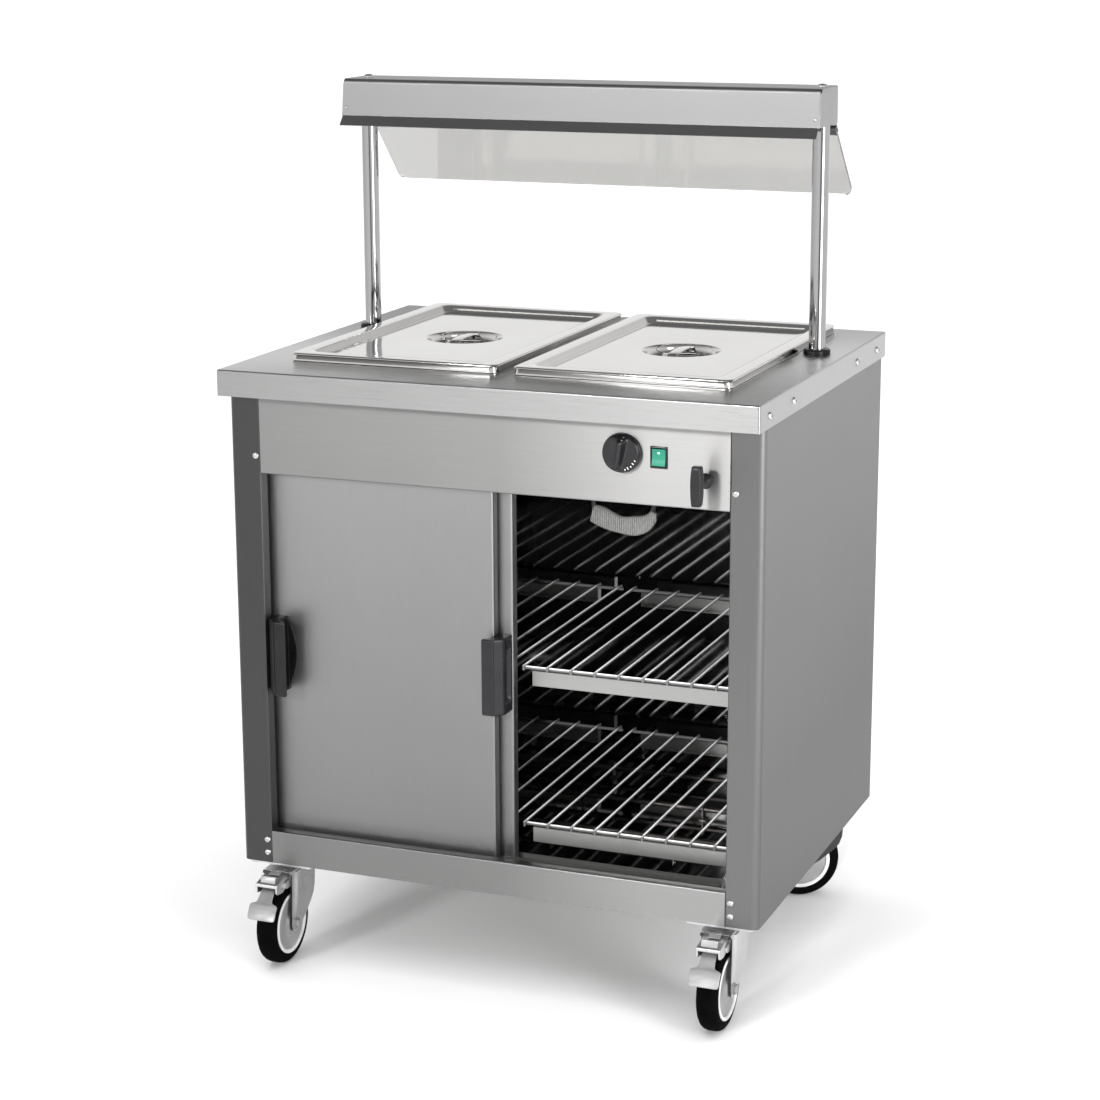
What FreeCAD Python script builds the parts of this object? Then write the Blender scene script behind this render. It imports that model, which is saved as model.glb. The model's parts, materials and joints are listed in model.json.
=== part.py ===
import FreeCAD, Part
import math
import os

# Mobile hot food holding cabinet: a double-skinned cupboard with two sliding doors and wire
# racks, a wet well with two covered pans in its worktop, and a heated gantry with a sneeze glass.
# Millimetres. +X right, +Y back, +Z up. The origin lies on the floor, in the middle of the
# footprint. Every shape is drawn about the middle of the worktop and shifted when it is saved.

V = FreeCAD.Vector

# ---- driving dimensions -------------------------------------------------------------------------
sheet = 1.2
worktop_width = 813.0
worktop_depth = 664.0
worktop_height = 911.0
worktop_lip = 38.0

body_half_width = 405.0
body_front = -300.0
body_back = 316.0
body_bottom = 157.0
body_corner = 9.0
post_inner = 356.5
post_return = 20.0
screw_offset = 7.5

fascia_bottom = 756.0
plinth_top = 208.0

liner_half_width = 388.0
liner_front = -226.0
liner_back = 290.0
liner_floor = 170.0
liner_sheet = 1.0

door_width = 372.0
door_depth = 16.0
door_bottom = 190.0
door_top = 772.0
front_door_face = -271.0
rear_door_face = -250.0
front_door_right = -4.0
rear_door_right = 17.0
roller_radius = 7.0

track_end = 329.0
track_floor = 184.0
track_lip = 199.0
track_roof = 776.0
track_roof_lip = 759.0

handle_height = 114.0
handle_centre_z = 480.5
handle_width = 32.0
handle_depth = 40.0

shelf_levels = {"upper": 485.0, "lower": 246.0}
shelf_wire = 4.0
shelf_cross_wire = 5.0
shelf_pitch = 36.6
shelf_wires = 10
shelf_front = -228.0
shelf_back = 255.0
shelf_drop = 6.0
rack_offset = 11.5
rack_gap = 25.0
support_inner = 37.0
support_height = 22.0
support_depth = 14.0

pan_length = 530.0
pan_width = 325.0
pan_gap = 23.4
pan_front = -235.8
pan_depth = 100.0
pan_body_margin = 16.5
lid_height = 12.0
lid_rim = 26.0
lid_panel_drop = 8.5
lid_dish_radius = 58.0
lid_dish_depth = 16.0
lid_gap = 1.5
strap_reach = 50.0
strap_width = 16.0
strap_thickness = 2.0
cutout_margin = 15.0
well_floor = 772.0
divider_width = 45.0

post_radius = 12.5
post_wall = 1.5
post_x = 361.0
post_y = 101.0
collar_radius = 20.0
collar_height = 7.0

hood_half_width = 375.0
hood_top = 1300.0
hood_front = 42.0
hood_back = 131.0
hood_lower = 1245.0
hood_lean = 6.0
hood_lip = 16.0
hood_screw_stand = 0.45
visor_reach = 12.0
visor_drop = 14.0

glass_half_width = 373.0
glass_top_y = 137.0
glass_top_z = 1240.0
glass_length = 150.0
glass_thickness = 5.0
glass_tilt = 45.5
glass_corner = 14.0

knob_x = 202.0
knob_z = 828.0
knob_radius = 28.0
switch_x = 254.5
switch_z = 824.5
lever_x = 321.5
lever_z = 797.0

castor_x = 346.0
castor_front_y = -252.0
castor_back_y = 268.0
castor_plate_width = 104.0
castor_plate_depth = 90.0
wheel_radius = 62.5
wheel_width = 32.0
rim_radius = 47.0
rim_band = 6.0
axle_radius = 6.0
castor_trail = 42.0
castor_angles = {"front_left": 0.0, "front_right": 0.0, "rear_left": 24.0, "rear_right": -66.7}
brake_half_width = 17.5
brake_front = -91.0
brake_sheet = 2.5
pedal_pivot_y = -62.0
pedal_pivot_z = 130.0
pedal_half_width = 22.5
pedal_tip = (-111.9, 88.0)

running_clearance = 0.05


# ---- helpers ------------------------------------------------------------------------------------
def block(x0, x1, y0, y1, z0, z1):
    return Part.makeBox(x1 - x0, y1 - y0, z1 - z0, V(x0, y0, z0))


def rod(start, end, radius):
    start = V(*start)
    along = V(*end) - start
    return Part.makeCylinder(radius, along.Length, start, along)


def fuse(shapes):
    return shapes[0].multiFuse(shapes[1:]).removeSplitter()


def mirrored(shape):
    return shape.mirror(V(0, 0, 0), V(1, 0, 0))


def moved(shape, x=0.0, y=0.0, z=0.0):
    copy = shape.copy()
    copy.translate(V(x, y, z))
    return copy


def turned(shape, angle, centre, axis):
    copy = shape.copy()
    copy.rotate(V(*centre), V(*axis), angle)
    return copy


def in_plane(plane, u, v, w):
    """A point whose u and v lie in the named plane, at w across it."""
    return {"XY": V(u, v, w), "XZ": V(u, w, v), "YZ": V(w, u, v)}[plane]


def prism(points, plane, start, end):
    """A straight-sided outline in a plane, extruded across it."""
    corners = [in_plane(plane, u, v, start) for u, v in points]
    face = Part.Face(Part.makePolygon(corners + corners[:1]))
    return face.extrude(in_plane(plane, 0, 0, end - start))


def rounded_plate(x0, x1, y0, y1, z0, z1, radius):
    """A block with its four upright edges rounded."""
    plate = block(x0, x1, y0, y1, z0, z1)
    upright = [edge for edge in plate.Edges if abs(edge.tangentAt(edge.FirstParameter).z) > 0.5]
    return plate.makeFillet(radius, upright)


def strip_side(points, bends, half, thickness):
    """The edges of one side of a bent strip, as (kind, points) in the strip's plane."""
    corners = [V(u, v, 0) for u, v in points]
    runs = [(b - a).normalize() for a, b in zip(corners, corners[1:])]
    normals = [V(-run.y, run.x, 0) for run in runs]
    side = []
    here = corners[0] + normals[0] * half
    for index in range(1, len(corners) - 1):
        before, after = runs[index - 1], runs[index]
        turn = math.atan2(before.cross(after).z, before.dot(after))
        sign = math.copysign(1.0, turn)
        middle = bends[index - 1] + thickness / 2
        tangent = middle * math.tan(abs(turn) / 2)
        centre = corners[index] - before * tangent + normals[index - 1] * (sign * middle)
        radius = middle - sign * half
        entry = centre - normals[index - 1] * (sign * radius)
        leave = centre - normals[index] * (sign * radius)
        crown = centre + (corners[index] - centre).normalize() * radius
        side.append(("line", (here, entry)))
        side.append(("arc", (entry, crown, leave)))
        here = leave
    side.append(("line", (here, corners[-1] + normals[-1] * half)))
    return side


def bent_strip(points, bends, plane, start, end, thickness=sheet):
    """Folded sheet: its middle runs through the points, with these inside bend radii."""
    def lift(point):
        return in_plane(plane, point.x, point.y, start)

    edges = []
    ends = []
    for half in (thickness / 2, -thickness / 2):
        side = strip_side(points, bends, half, thickness)
        for kind, marks in side:
            if kind == "line":
                edges.append(Part.makeLine(lift(marks[0]), lift(marks[1])))
            else:
                edges.append(Part.Arc(*[lift(mark) for mark in marks]).toShape())
        ends.append((lift(side[0][1][0]), lift(side[-1][1][-1])))
    edges.append(Part.makeLine(ends[0][0], ends[1][0]))
    edges.append(Part.makeLine(ends[0][1], ends[1][1]))
    face = Part.Face(Part.Wire(Part.__sortEdges__(edges)))
    return face.extrude(in_plane(plane, 0, 0, end - start))


def bent_rod(points, radius, bend):
    """A round bar or tube along straight runs joined by tangent arcs."""
    corners = [V(*point) for point in points]
    edges = []
    here = corners[0]
    for before, corner, after in zip(corners, corners[1:], corners[2:]):
        inward = (before - corner).normalize()
        outward = (after - corner).normalize()
        half_turn = (math.pi - inward.getAngle(outward)) / 2
        tangent = bend * math.tan(half_turn)
        entry = corner + inward * tangent
        leave = corner + outward * tangent
        centre = corner + (inward + outward).normalize() * (bend / math.cos(half_turn))
        crown = centre + (corner - centre).normalize() * bend
        edges.append(Part.makeLine(here, entry))
        edges.append(Part.Arc(entry, crown, leave).toShape())
        here = leave
    edges.append(Part.makeLine(here, corners[-1]))
    path = Part.Wire(edges)
    profile = Part.Wire([Part.makeCircle(radius, corners[0], corners[1] - corners[0])])
    return path.makePipeShell([profile], True, True)


def lathe(points, centre, axis="x"):
    """A closed (along, radius) outline turned about an axis through the centre."""
    outline = [V(along, radius, 0) for along, radius in points]
    face = Part.Face(Part.makePolygon(outline + outline[:1]))
    solid = face.revolve(V(0, 0, 0), V(1, 0, 0), 360)
    if axis == "y":
        solid.rotate(V(0, 0, 0), V(0, 0, 1), -90)
    if axis == "z":
        solid.rotate(V(0, 0, 0), V(0, 1, 0), -90)
    solid.translate(V(*centre))
    return solid


def dome_screw(centre, axis, direction, radius, height):
    """A screw head with a domed face and a small hexagon socket, standing on a surface."""
    steps = 6
    arc = [(height * math.sin(math.pi / 2 * k / steps), radius * math.cos(math.pi / 2 * k / steps))
           for k in range(steps)]
    outline = [(direction * along, across) for along, across in [(0.0, 0.0)] + arc + [(height, 0.0)]]
    head = lathe(outline, centre, axis)
    socket_radius = radius * 0.38
    tip = {"x": V(1, 0, 0), "y": V(0, 1, 0), "z": V(0, 0, 1)}[axis] * direction
    if axis == "y":
        tip = V(0, -direction, 0)
    depth = height * 0.6
    socket = Part.makeCylinder(socket_radius, height, V(*centre) + tip * (height - depth), tip)
    return head.cut(socket)


nodes = {}


def node(name, *shapes):
    """Keep one node for saving: each shape stays a separate solid."""
    solids = [solid for shape in shapes for solid in shape.Solids]
    nodes[name] = solids[0].copy() if len(solids) == 1 else Part.makeCompound(solids)


def save_nodes():
    """Shift every node so that the origin is in the middle of the footprint, and write it."""
    box = Part.makeCompound(list(nodes.values())).BoundBox
    shift = V(0, -(box.YMin + box.YMax) / 2, 0)
    for name, shape in nodes.items():
        shape.translate(shift)
        shape.exportStep("parts/" + name + ".step")
    print("moved back by", round(shift.y, 3))


# ---- cabinet body -------------------------------------------------------------------------------
def side_panel():
    """Right outer skin: the post's return, its face, the rounded corner, the side, the back."""
    half = sheet / 2
    points = [(post_inner + half, body_front + post_return), (post_inner + half, body_front + half),
              (body_half_width - half, body_front + half), (body_half_width - half, body_back - half),
              (body_half_width - 24, body_back - half)]
    return bent_strip(points, [1.0, body_corner, 2.0], "XY", body_bottom, worktop_height - 6)


def back_panel():
    """Plate between the side skins' back flanges, with cooling slots and the inlet hole."""
    edge = body_half_width - 25
    panel = block(-edge, edge, body_back - sheet, body_back, body_bottom, worktop_height - 6)
    slots = []
    for row in range(6):
        low = 842.0 - row * 12.0
        slots += [block(x - 30, x + 30, body_back - 3, body_back + 1, low, low + 4)
                  for x in (150.0, 230.0)]
    inlet = rod((-300, body_back - 5, 205), (-300, body_back + 5, 205), 8.0)
    return panel.cut(Part.makeCompound(slots + [inlet]))


def castor_centres():
    return {"front_left": (-castor_x, castor_front_y), "front_right": (castor_x, castor_front_y),
            "rear_left": (-castor_x, castor_back_y), "rear_right": (castor_x, castor_back_y)}


def base_pan():
    """Tray that closes the underside, with the drain hole."""
    edge_x = body_half_width - sheet - 0.3
    front = body_front + sheet + 0.3
    back = body_back - sheet - 0.3
    tray = rounded_plate(-edge_x, edge_x, front, back, body_bottom, body_bottom + 12, 3.0)
    hollow = block(-edge_x + sheet, edge_x - sheet, front + sheet, back - sheet,
                   body_bottom + sheet, body_bottom + 13)
    notch = block(post_inner - 0.3, edge_x + 1, front - 1, body_front + post_return + 0.3,
                  body_bottom - 1, body_bottom + 13)
    drain = rod((396, -200, body_bottom - 1), (396, -200, body_bottom + 3), 6.6)
    return tray.cut(hollow).cut(Part.makeCompound([drain, notch, mirrored(notch)]))


def fascia():
    """Control panel with a folded lower edge and its three holes."""
    half = sheet / 2
    points = [(body_front + half, worktop_height - 6), (body_front + half, fascia_bottom + half),
              (body_front + 16, fascia_bottom + half)]
    panel = bent_strip(points, [1.0], "YZ", -post_inner + 0.3, post_inner - 0.3)
    behind, before = body_front + 3, body_front - 3
    holes = [rod((knob_x, before, knob_z), (knob_x, behind, knob_z), 4.0),
             rod((lever_x, before, lever_z), (lever_x, behind, lever_z), 7.0),
             block(switch_x - 11, switch_x + 11, before, behind, switch_z - 14, switch_z + 14)]
    return panel.cut(Part.makeCompound(holes))


def plinth():
    half = sheet / 2
    points = [(body_front + 16, plinth_top - half), (body_front + half, plinth_top - half),
              (body_front + half, body_bottom)]
    return bent_strip(points, [1.0], "YZ", -post_inner + 0.3, post_inner - 0.3)


def inner_liner():
    """Polished inner skins: two walls, the back and the floor, as four sheets."""
    top = worktop_height - 8
    low = body_bottom + sheet + 0.3
    wall = block(liner_half_width, liner_half_width + liner_sheet, liner_front, liner_back, low, top)
    back = block(-liner_half_width, liner_half_width, liner_back, liner_back + liner_sheet, low, top)
    floor = block(-liner_half_width + 0.3, liner_half_width - 0.3, liner_front, liner_back - 0.3,
                  liner_floor - liner_sheet, liner_floor)
    return [wall, mirrored(wall), back, floor]


def insulation():
    """Fibre slabs in the side and back cavities."""
    top = worktop_height - 60
    low = body_bottom + 14
    side = block(liner_half_width + liner_sheet + 0.2, body_half_width - sheet - 0.2,
                 liner_front + 50, liner_back, low, top)
    back = block(-370, 370, liner_back + liner_sheet + 0.2, body_back - sheet - 0.2, low + 60, top)
    return [side, mirrored(side), back]


# ---- worktop, well and pans ---------------------------------------------------------------------
pan_centre_x = (pan_gap + pan_width) / 2
pan_back = pan_front + pan_length
cutout_half = pan_gap / 2 + pan_width - cutout_margin
well_front = pan_front + cutout_margin - 4
well_back = pan_back - cutout_margin + 4


def worktop():
    """Folded top with a lip all round, the well cut-out, and holes for the gantry posts."""
    half_x, half_y = worktop_width / 2, worktop_depth / 2
    outer = rounded_plate(-half_x, half_x, -half_y, half_y, worktop_height - worktop_lip,
                          worktop_height, 3.0)
    rim = [edge for edge in outer.Edges if edge.BoundBox.ZMin > worktop_height - 0.01]
    outer = outer.makeFillet(2.5, rim)
    inner = rounded_plate(-half_x + sheet, half_x - sheet, -half_y + sheet, half_y - sheet,
                          worktop_height - worktop_lip - 1, worktop_height - sheet, 1.8)
    opening = rounded_plate(-cutout_half, cutout_half, pan_front + cutout_margin,
                            pan_back - cutout_margin, worktop_height - 5, worktop_height + 1, 6.0)
    studs = [rod((x, post_y, worktop_height - 5), (x, post_y, worktop_height + 1), 4.2)
             for x in (-post_x, post_x)]
    return outer.cut(inner).cut(opening).cut(Part.makeCompound(studs))


def well_tank():
    """Open tank hung under the worktop, with a flange and a drain outlet hole in its front."""
    rim_z = worktop_height - sheet - 0.2
    half = cutout_half + 4
    body = rounded_plate(-half, half, well_front, well_back, well_floor, rim_z, 24.0)
    flange = rounded_plate(-half - 14, half + 14, well_front - 14, well_back + 14, rim_z - sheet,
                           rim_z, 24.0)
    hollow = rounded_plate(-half + sheet, half - sheet, well_front + sheet, well_back - sheet,
                           well_floor + sheet, rim_z + 1, 22.8)
    outlet = rod((285, well_front - 2, lever_z), (285, well_front + 3, lever_z), 6.1)
    post_gaps = [rod((x, post_y, rim_z - 3), (x, post_y, rim_z + 1), 12.0)
                 for x in (-post_x, post_x)]
    return fuse([body, flange]).cut(hollow).cut(outlet).cut(Part.makeCompound(post_gaps))


def divider_bar():
    """Inverted channel across the well that carries the pans' inner edges."""
    half = divider_width / 2
    top = worktop_height
    points = [(-half + 0.6, top - 16), (-half + 0.6, top - 0.6), (half - 0.6, top - 0.6),
              (half - 0.6, top - 16)]
    return bent_strip(points, [1.0, 1.0], "XZ", pan_front + cutout_margin + 0.3,
                      pan_back - cutout_margin - 0.3)


def pan(centre_x):
    """Full-size container: a wide flange over the cut-out and a deep body with round corners."""
    x0, x1 = centre_x - pan_width / 2, centre_x + pan_width / 2
    bottom = worktop_height + 1.2 - pan_depth
    top = worktop_height + 1.2
    margin = pan_body_margin
    side = 13.5
    body = rounded_plate(x0 + margin, x1 - margin, pan_front + side + 4, pan_back - side - 4,
                         bottom, top, 42.0)
    flange = rounded_plate(x0, x1, pan_front, pan_back, worktop_height + 0.2, top, 10.0)
    hollow = rounded_plate(x0 + margin + 1, x1 - margin - 1, pan_front + side + 5,
                           pan_back - side - 5, bottom + 1, top + 1, 41.0)
    return fuse([body, flange]).cut(hollow)


def lid(centre_x):
    """Flat cover: skirt, raised rim, sunken panel and a round dish for the fingers."""
    x0, x1 = centre_x - pan_width / 2, centre_x + pan_width / 2
    low = worktop_height + lid_gap
    top = low + lid_height
    panel_top = top - lid_panel_drop
    outer = rounded_plate(x0, x1, pan_front, pan_back, low, top, 9.0)
    edge = [e for e in outer.Edges if e.BoundBox.ZMin > top - 0.01]
    outer = outer.makeFillet(2.0, edge)
    under = rounded_plate(x0 + 1, x1 - 1, pan_front + 1, pan_back - 1, low - 1, top - 1, 8.0)
    rim = lid_rim
    raised = outer.cut(under)
    window = rounded_plate(x0 + rim, x1 - rim, pan_front + rim, pan_back - rim, top - 3, top + 1, 10.0)
    well = rounded_plate(x0 + rim - 1, x1 - rim + 1, pan_front + rim - 1, pan_back - rim + 1,
                         panel_top - 1, top - 1, 11.0)
    well_hollow = rounded_plate(x0 + rim, x1 - rim, pan_front + rim, pan_back - rim, panel_top,
                                top + 1, 10.0)
    middle_y = (pan_front + pan_back) / 2
    dish_floor = panel_top - lid_dish_depth
    dish = rod((centre_x, middle_y, dish_floor), (centre_x, middle_y, panel_top), lid_dish_radius)
    dish_hollow = rod((centre_x, middle_y, dish_floor + 1), (centre_x, middle_y, top + 1),
                      lid_dish_radius - 1)
    shell = fuse([raised.cut(window), well.cut(well_hollow), dish]).cut(dish_hollow)
    return shell


def lid_handle(centre_x):
    """Strap across the dish, with a foot welded to the dish's floor at each end."""
    middle_y = (pan_front + pan_back) / 2
    panel_top = worktop_height + lid_gap + lid_height - lid_panel_drop
    foot_z = panel_top - lid_dish_depth + 1.0 + strap_thickness / 2 + running_clearance
    grip_z = panel_top + strap_thickness / 2
    ankle, shoulder = strap_reach - 9, strap_reach - 15
    half = [(strap_reach, foot_z), (ankle, foot_z), (shoulder, grip_z)]
    points = [(middle_y - reach, z) for reach, z in half]
    points += [(middle_y + reach, z) for reach, z in reversed(half)]
    return bent_strip(points, [2.0] * 4, "YZ", centre_x - strap_width / 2,
                      centre_x + strap_width / 2, strap_thickness)


# ---- drain, heating and controls ----------------------------------------------------------------
valve_y = body_front + 38


def drain_pipe():
    """Inlet stub from the well to the valve, and the outlet down the side cavity."""
    inlet = bent_rod([(285, well_front + 1, lever_z), (285, valve_y, lever_z),
                      (lever_x - 15.2, valve_y, lever_z)], 6.0, 12.0)
    outlet = bent_rod([(lever_x + 15.2, valve_y, lever_z), (396, valve_y, lever_z),
                       (396, -200, lever_z), (396, -200, body_bottom - 6)], 6.0, 18.0)
    return [inlet, outlet]


def drain_valve():
    """Ball valve body with a nut at each end and a gland for its spindle."""
    body = rod((lever_x - 14, valve_y, lever_z), (lever_x + 14, valve_y, lever_z), 13.0)
    nuts = [rod((lever_x + a, valve_y, lever_z), (lever_x + a + 8, valve_y, lever_z), 11.0)
            for a in (-22, 14)]
    gland = rod((lever_x, valve_y, lever_z), (lever_x, body_front + sheet + 0.5, lever_z), 9.0)
    pipe_bores = [rod((lever_x - 23, valve_y, lever_z), (lever_x - 15, valve_y, lever_z), 6.05),
                  rod((lever_x + 15, valve_y, lever_z), (lever_x + 23, valve_y, lever_z), 6.05)]
    spindle_bore = rod((lever_x, valve_y - 12, lever_z), (lever_x, body_front - 5, lever_z),
                       4.0 + running_clearance)
    return fuse([body, gland] + nuts).cut(Part.makeCompound(pipe_bores)).cut(spindle_bore)


def drain_lever():
    """T handle: a barrel-shaped grip on a tapered stem, and the spindle behind it."""
    spindle = rod((lever_x, valve_y - 12.3, lever_z), (lever_x, body_front - 2, lever_z), 4.0)
    stem = lathe([(0, 0), (0, 9.5), (4, 9.0), (12, 6.5), (34, 6.0), (34, 0)],
                 (lever_x, body_front - 0.6, lever_z), "y")
    grip = lathe([(-28, 0), (-28, 6.2), (-26, 7.2), (-12, 8.0), (12, 8.0), (26, 7.2), (28, 6.2),
                  (28, 0)], (lever_x, body_front - 38, lever_z), "z")
    return fuse([spindle, stem, grip])


def well_element():
    """Sheathed hairpin loops on the well's floor."""
    z = well_floor + 12
    loops = [(-60, 240, z), (-60, -170, z), (60, -170, z), (60, 225, z), (230, 225, z),
             (230, -150, z), (285, -150, z), (285, 240, z)]
    return bent_rod(loops, 4.25, 24.0)


def well_conduit():
    """Braided sleeve with the well's wiring, which sags below the tank."""
    top = well_floor - 0.3
    return bent_rod([(118, -180, top), (118, -180, 724), (138, -184, 691), (192, -184, 691),
                     (212, -180, 724), (212, -180, top)], 9.5, 26.0)


def base_element():
    """Sheathed element over the cupboard floor, and the clips that hold it."""
    z = liner_floor + 16
    loop = bent_rod([(-300, -60, z), (300, -60, z), (300, 80, z), (-300, 80, z), (-300, 220, z),
                     (330, 220, z)], 4.25, 40.0)
    clips = []
    for x in (-200.0, 0.0, 200.0):
        for y in (-60.0, 80.0, 220.0):
            foot = block(x - 6, x + 6, y - 9, y + 9, liner_floor + 0.2, liner_floor + 1.4)
            stalk = block(x - 1, x + 1, y - 7, y + 7, liner_floor + 1.4, z + 9)
            clips.append(fuse([foot, stalk]).cut(rod((x - 8, y, z), (x + 8, y, z), 4.4)))
    return [loop] + clips


def thermostat():
    """Control body behind the panel, with its fixing neck and phial."""
    body = block(knob_x - 22, knob_x + 22, body_front + 8, body_front + 42, knob_z - 18, knob_z + 18)
    neck = rod((knob_x, body_front + 8, knob_z), (knob_x, body_front + sheet + 0.3, knob_z), 8.0)
    bore = rod((knob_x, body_front + 24, knob_z), (knob_x, body_front - 1, knob_z),
               3.0 + running_clearance)
    tube = bent_rod([(knob_x - 20, body_front + 25, knob_z - 18.2), (knob_x - 20, body_front + 25, 790),
                     (20, body_front + 30, 786), (20, well_front - 12, 784)], 1.2, 9.0)
    phial = rod((-70, well_front - 5, 784), (30, well_front - 5, 784), 4.0)
    return [fuse([body, neck]).cut(bore), tube, phial]


def control_knob():
    """Round dial with a raised grip bar, on its spindle."""
    skirt = lathe([(0, 0), (0, knob_radius - 0.5), (1.5, knob_radius), (9, knob_radius - 1.5),
                   (11, knob_radius - 4), (12, 0)], (knob_x, body_front - 1.0, knob_z), "y")
    grip = prism([(-5.5, body_front - 12), (5.5, body_front - 12), (4.0, body_front - 27),
                  (-4.0, body_front - 27)], "XY", -23.5, 23.5)
    grip = moved(turned(grip, -8, (0, body_front, 0), (0, 1, 0)), knob_x, 0, knob_z)
    spindle = rod((knob_x, body_front + 23.5, knob_z), (knob_x, body_front - 1.5, knob_z), 3.0)
    return fuse([skirt, grip, spindle])


def switch_body():
    """Snap-in switch case with its bezel and terminals."""
    def slab(half_width, half_height, near, far):
        return block(switch_x - half_width, switch_x + half_width, body_front + near,
                     body_front + far, switch_z - half_height, switch_z + half_height)

    bezel = slab(12.5, 15.5, -2, 0)
    case = slab(10.7, 13.7, 0, 24)
    mouth = slab(10.0, 13.0, -3, 12)
    blades = [block(switch_x + x - 0.4, switch_x + x + 0.4, body_front + 24, body_front + 32,
                    switch_z + z - 3, switch_z + z + 3) for x in (-6, 6) for z in (-8, 8)]
    return fuse([fuse([bezel, case]).cut(mouth)] + blades)


def rocker():
    """Lit rocker whose face dips at the middle."""
    half = 11.6
    return prism([(body_front + 5, switch_z - half), (body_front - 4.2, switch_z - half),
                  (body_front - 1.2, switch_z), (body_front - 2.2, switch_z + half),
                  (body_front + 5, switch_z + half)], "YZ", switch_x - 9.6, switch_x + 9.6)


def cable_gland():
    """Inlet gland on the back panel: body, nut inside, and cap."""
    z, x = 205.0, -300.0
    body = lathe([(-12, 4.5), (-12, 7.8), (1.4, 7.8), (1.4, 12), (6, 12), (6, 10.5), (12, 9.0),
                  (12, 4.5)], (x, body_back, z), "y")
    body.rotate(V(x, body_back, z), V(0, 0, 1), 180)
    return body


# ---- doors --------------------------------------------------------------------------------------
def door(right, face):
    """Folded door: outer skin with rounded long edges, inner skin, rollers and top guides."""
    left = right - door_width
    back = face + door_depth
    wrap = bent_strip([(left + 0.5, back), (left + 0.5, face + 0.5), (right - 0.5, face + 0.5),
                       (right - 0.5, back)], [3.5, 3.5], "XY", door_bottom, door_top, 1.0)
    caps = [block(left + 0.9, right - 0.9, face + 0.9, back, z, z + 1.0)
            for z in (door_bottom, door_top - 1.0)]
    inner = block(left + 1.3, right - 1.3, back - 1.2, back - 0.2, door_bottom + 1.3, door_top - 1.3)
    centre_y = face + door_depth / 2 - 0.5
    axle_z = track_floor + sheet + roller_radius + 0.3
    rollers = []
    slots = []
    for x in (left + 55, right - 55):
        rollers.append(rod((x, centre_y - 3, axle_z), (x, centre_y + 3, axle_z), roller_radius))
        slots.append(block(x - 9, x + 9, centre_y - 3.5, centre_y + 3.5, door_bottom - 1,
                           door_bottom + 2))
    skin = fuse([wrap] + caps).cut(Part.makeCompound(slots))
    return [skin, inner] + rollers


def door_handle(outer_x, face, hand):
    """Edge pull: a web at the door's edge and a grip plate that overhangs towards its middle."""
    w, d = handle_width, handle_depth
    outline = [(0, 0), (0, d - 14), (-3, d - 9), (-14, d), (-w, d), (-w, d - 3.5), (-16, d - 3.5),
               (-11.5, d - 8), (-11.5, 4), (-19, 4), (-19, 0)]
    points = [(outer_x + hand * u, face - v) for u, v in outline]
    low, high = handle_centre_z - handle_height / 2, handle_centre_z + handle_height / 2
    bar = prism(points, "XY", low, high)
    grip_root = [(-11, d - 8), (-15.5, d - 3), (-w + 4, d - 3), (-w + 6, d - 6), (-17, d - 14),
                 (-17, 3.5), (-11, 3.5)]
    web_points = [(outer_x + hand * u, face - v) for u, v in grip_root]
    ends = [prism(web_points, "XY", z, z + 3.0) for z in (low, high - 3.0)]
    thumb = rod((outer_x + hand * 6, face - 16, low + 18), (outer_x + hand * 6, face - 16, high - 18),
                10.0)
    return fuse([bar] + ends).cut(thumb)


def door_track(floor_z, lip_z, half_width, foot_z):
    """Twin channel: a web and three lips, facing up or down."""
    web = sorted((floor_z, floor_z + sheet))
    lip = sorted((floor_z, lip_z))
    first, middle, last = front_door_face - 4.6, rear_door_face - 3.6, rear_door_face + 19.4
    pieces = [block(-half_width, half_width, first, last + sheet, web[0], web[1])]
    for y in (first, middle, last):
        low = min(lip[0], foot_z) if y != middle else lip[0]
        high = max(lip[1], web[1])
        pieces.append(block(-half_width, half_width, y, y + sheet, low, high))
    return fuse(pieces)


# ---- shelves ------------------------------------------------------------------------------------
def shelf_support(level):
    """Front and back channels with a wall rail between them, for the right-hand rack."""
    top = level - shelf_wire / 2 - shelf_cross_wire + 0.2
    low = top - support_height
    wall = liner_half_width - 0.3
    channels = []
    for web_y, flange_to in ((liner_front, support_depth), (shelf_back + 3, -support_depth)):
        y0, y1 = sorted((web_y, web_y + flange_to))
        hollow = block(support_inner - 1, wall + 1, y0 + sheet, y1 + sheet, low + sheet, top - sheet)
        if flange_to < 0:
            hollow = block(support_inner - 1, wall + 1, y0 - sheet, y1 - sheet, low + sheet,
                           top - sheet)
        channel = block(support_inner, wall, y0, y1, low, top).cut(hollow)
        channels.append(fuse([channel, block(support_inner, support_inner + sheet, y0, y1, low, top)]))
    rail = block(wall - sheet, wall, liner_front, shelf_back + 3, low, top)
    ledge = block(wall - 16, wall, liner_front, shelf_back + 3, top - sheet, top)
    return fuse(channels + [rail, ledge])


def wire_rack(first_x, step, level):
    """Wires from front to back, turned down at both ends, welded on two cross wires."""
    radius = shelf_wire / 2
    wires = []
    for index in range(shelf_wires):
        x = first_x + step * index
        wires.append(rod((x, shelf_front, level), (x, shelf_back, level), radius))
        for y in (shelf_front, shelf_back):
            wires.append(rod((x, y, level - shelf_drop), (x, y, level), radius))
            wires.append(Part.makeSphere(radius, V(x, y, level)))
    x0, x1 = sorted((first_x, first_x + step * (shelf_wires - 1)))
    cross_z = level - radius - shelf_cross_wire / 2 + 0.3
    for y in (shelf_front + 9, shelf_back - 5):
        wires.append(rod((x0 - 5, y, cross_z), (x1 + 5, y, cross_z), shelf_cross_wire / 2))
    return fuse(wires)


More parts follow.
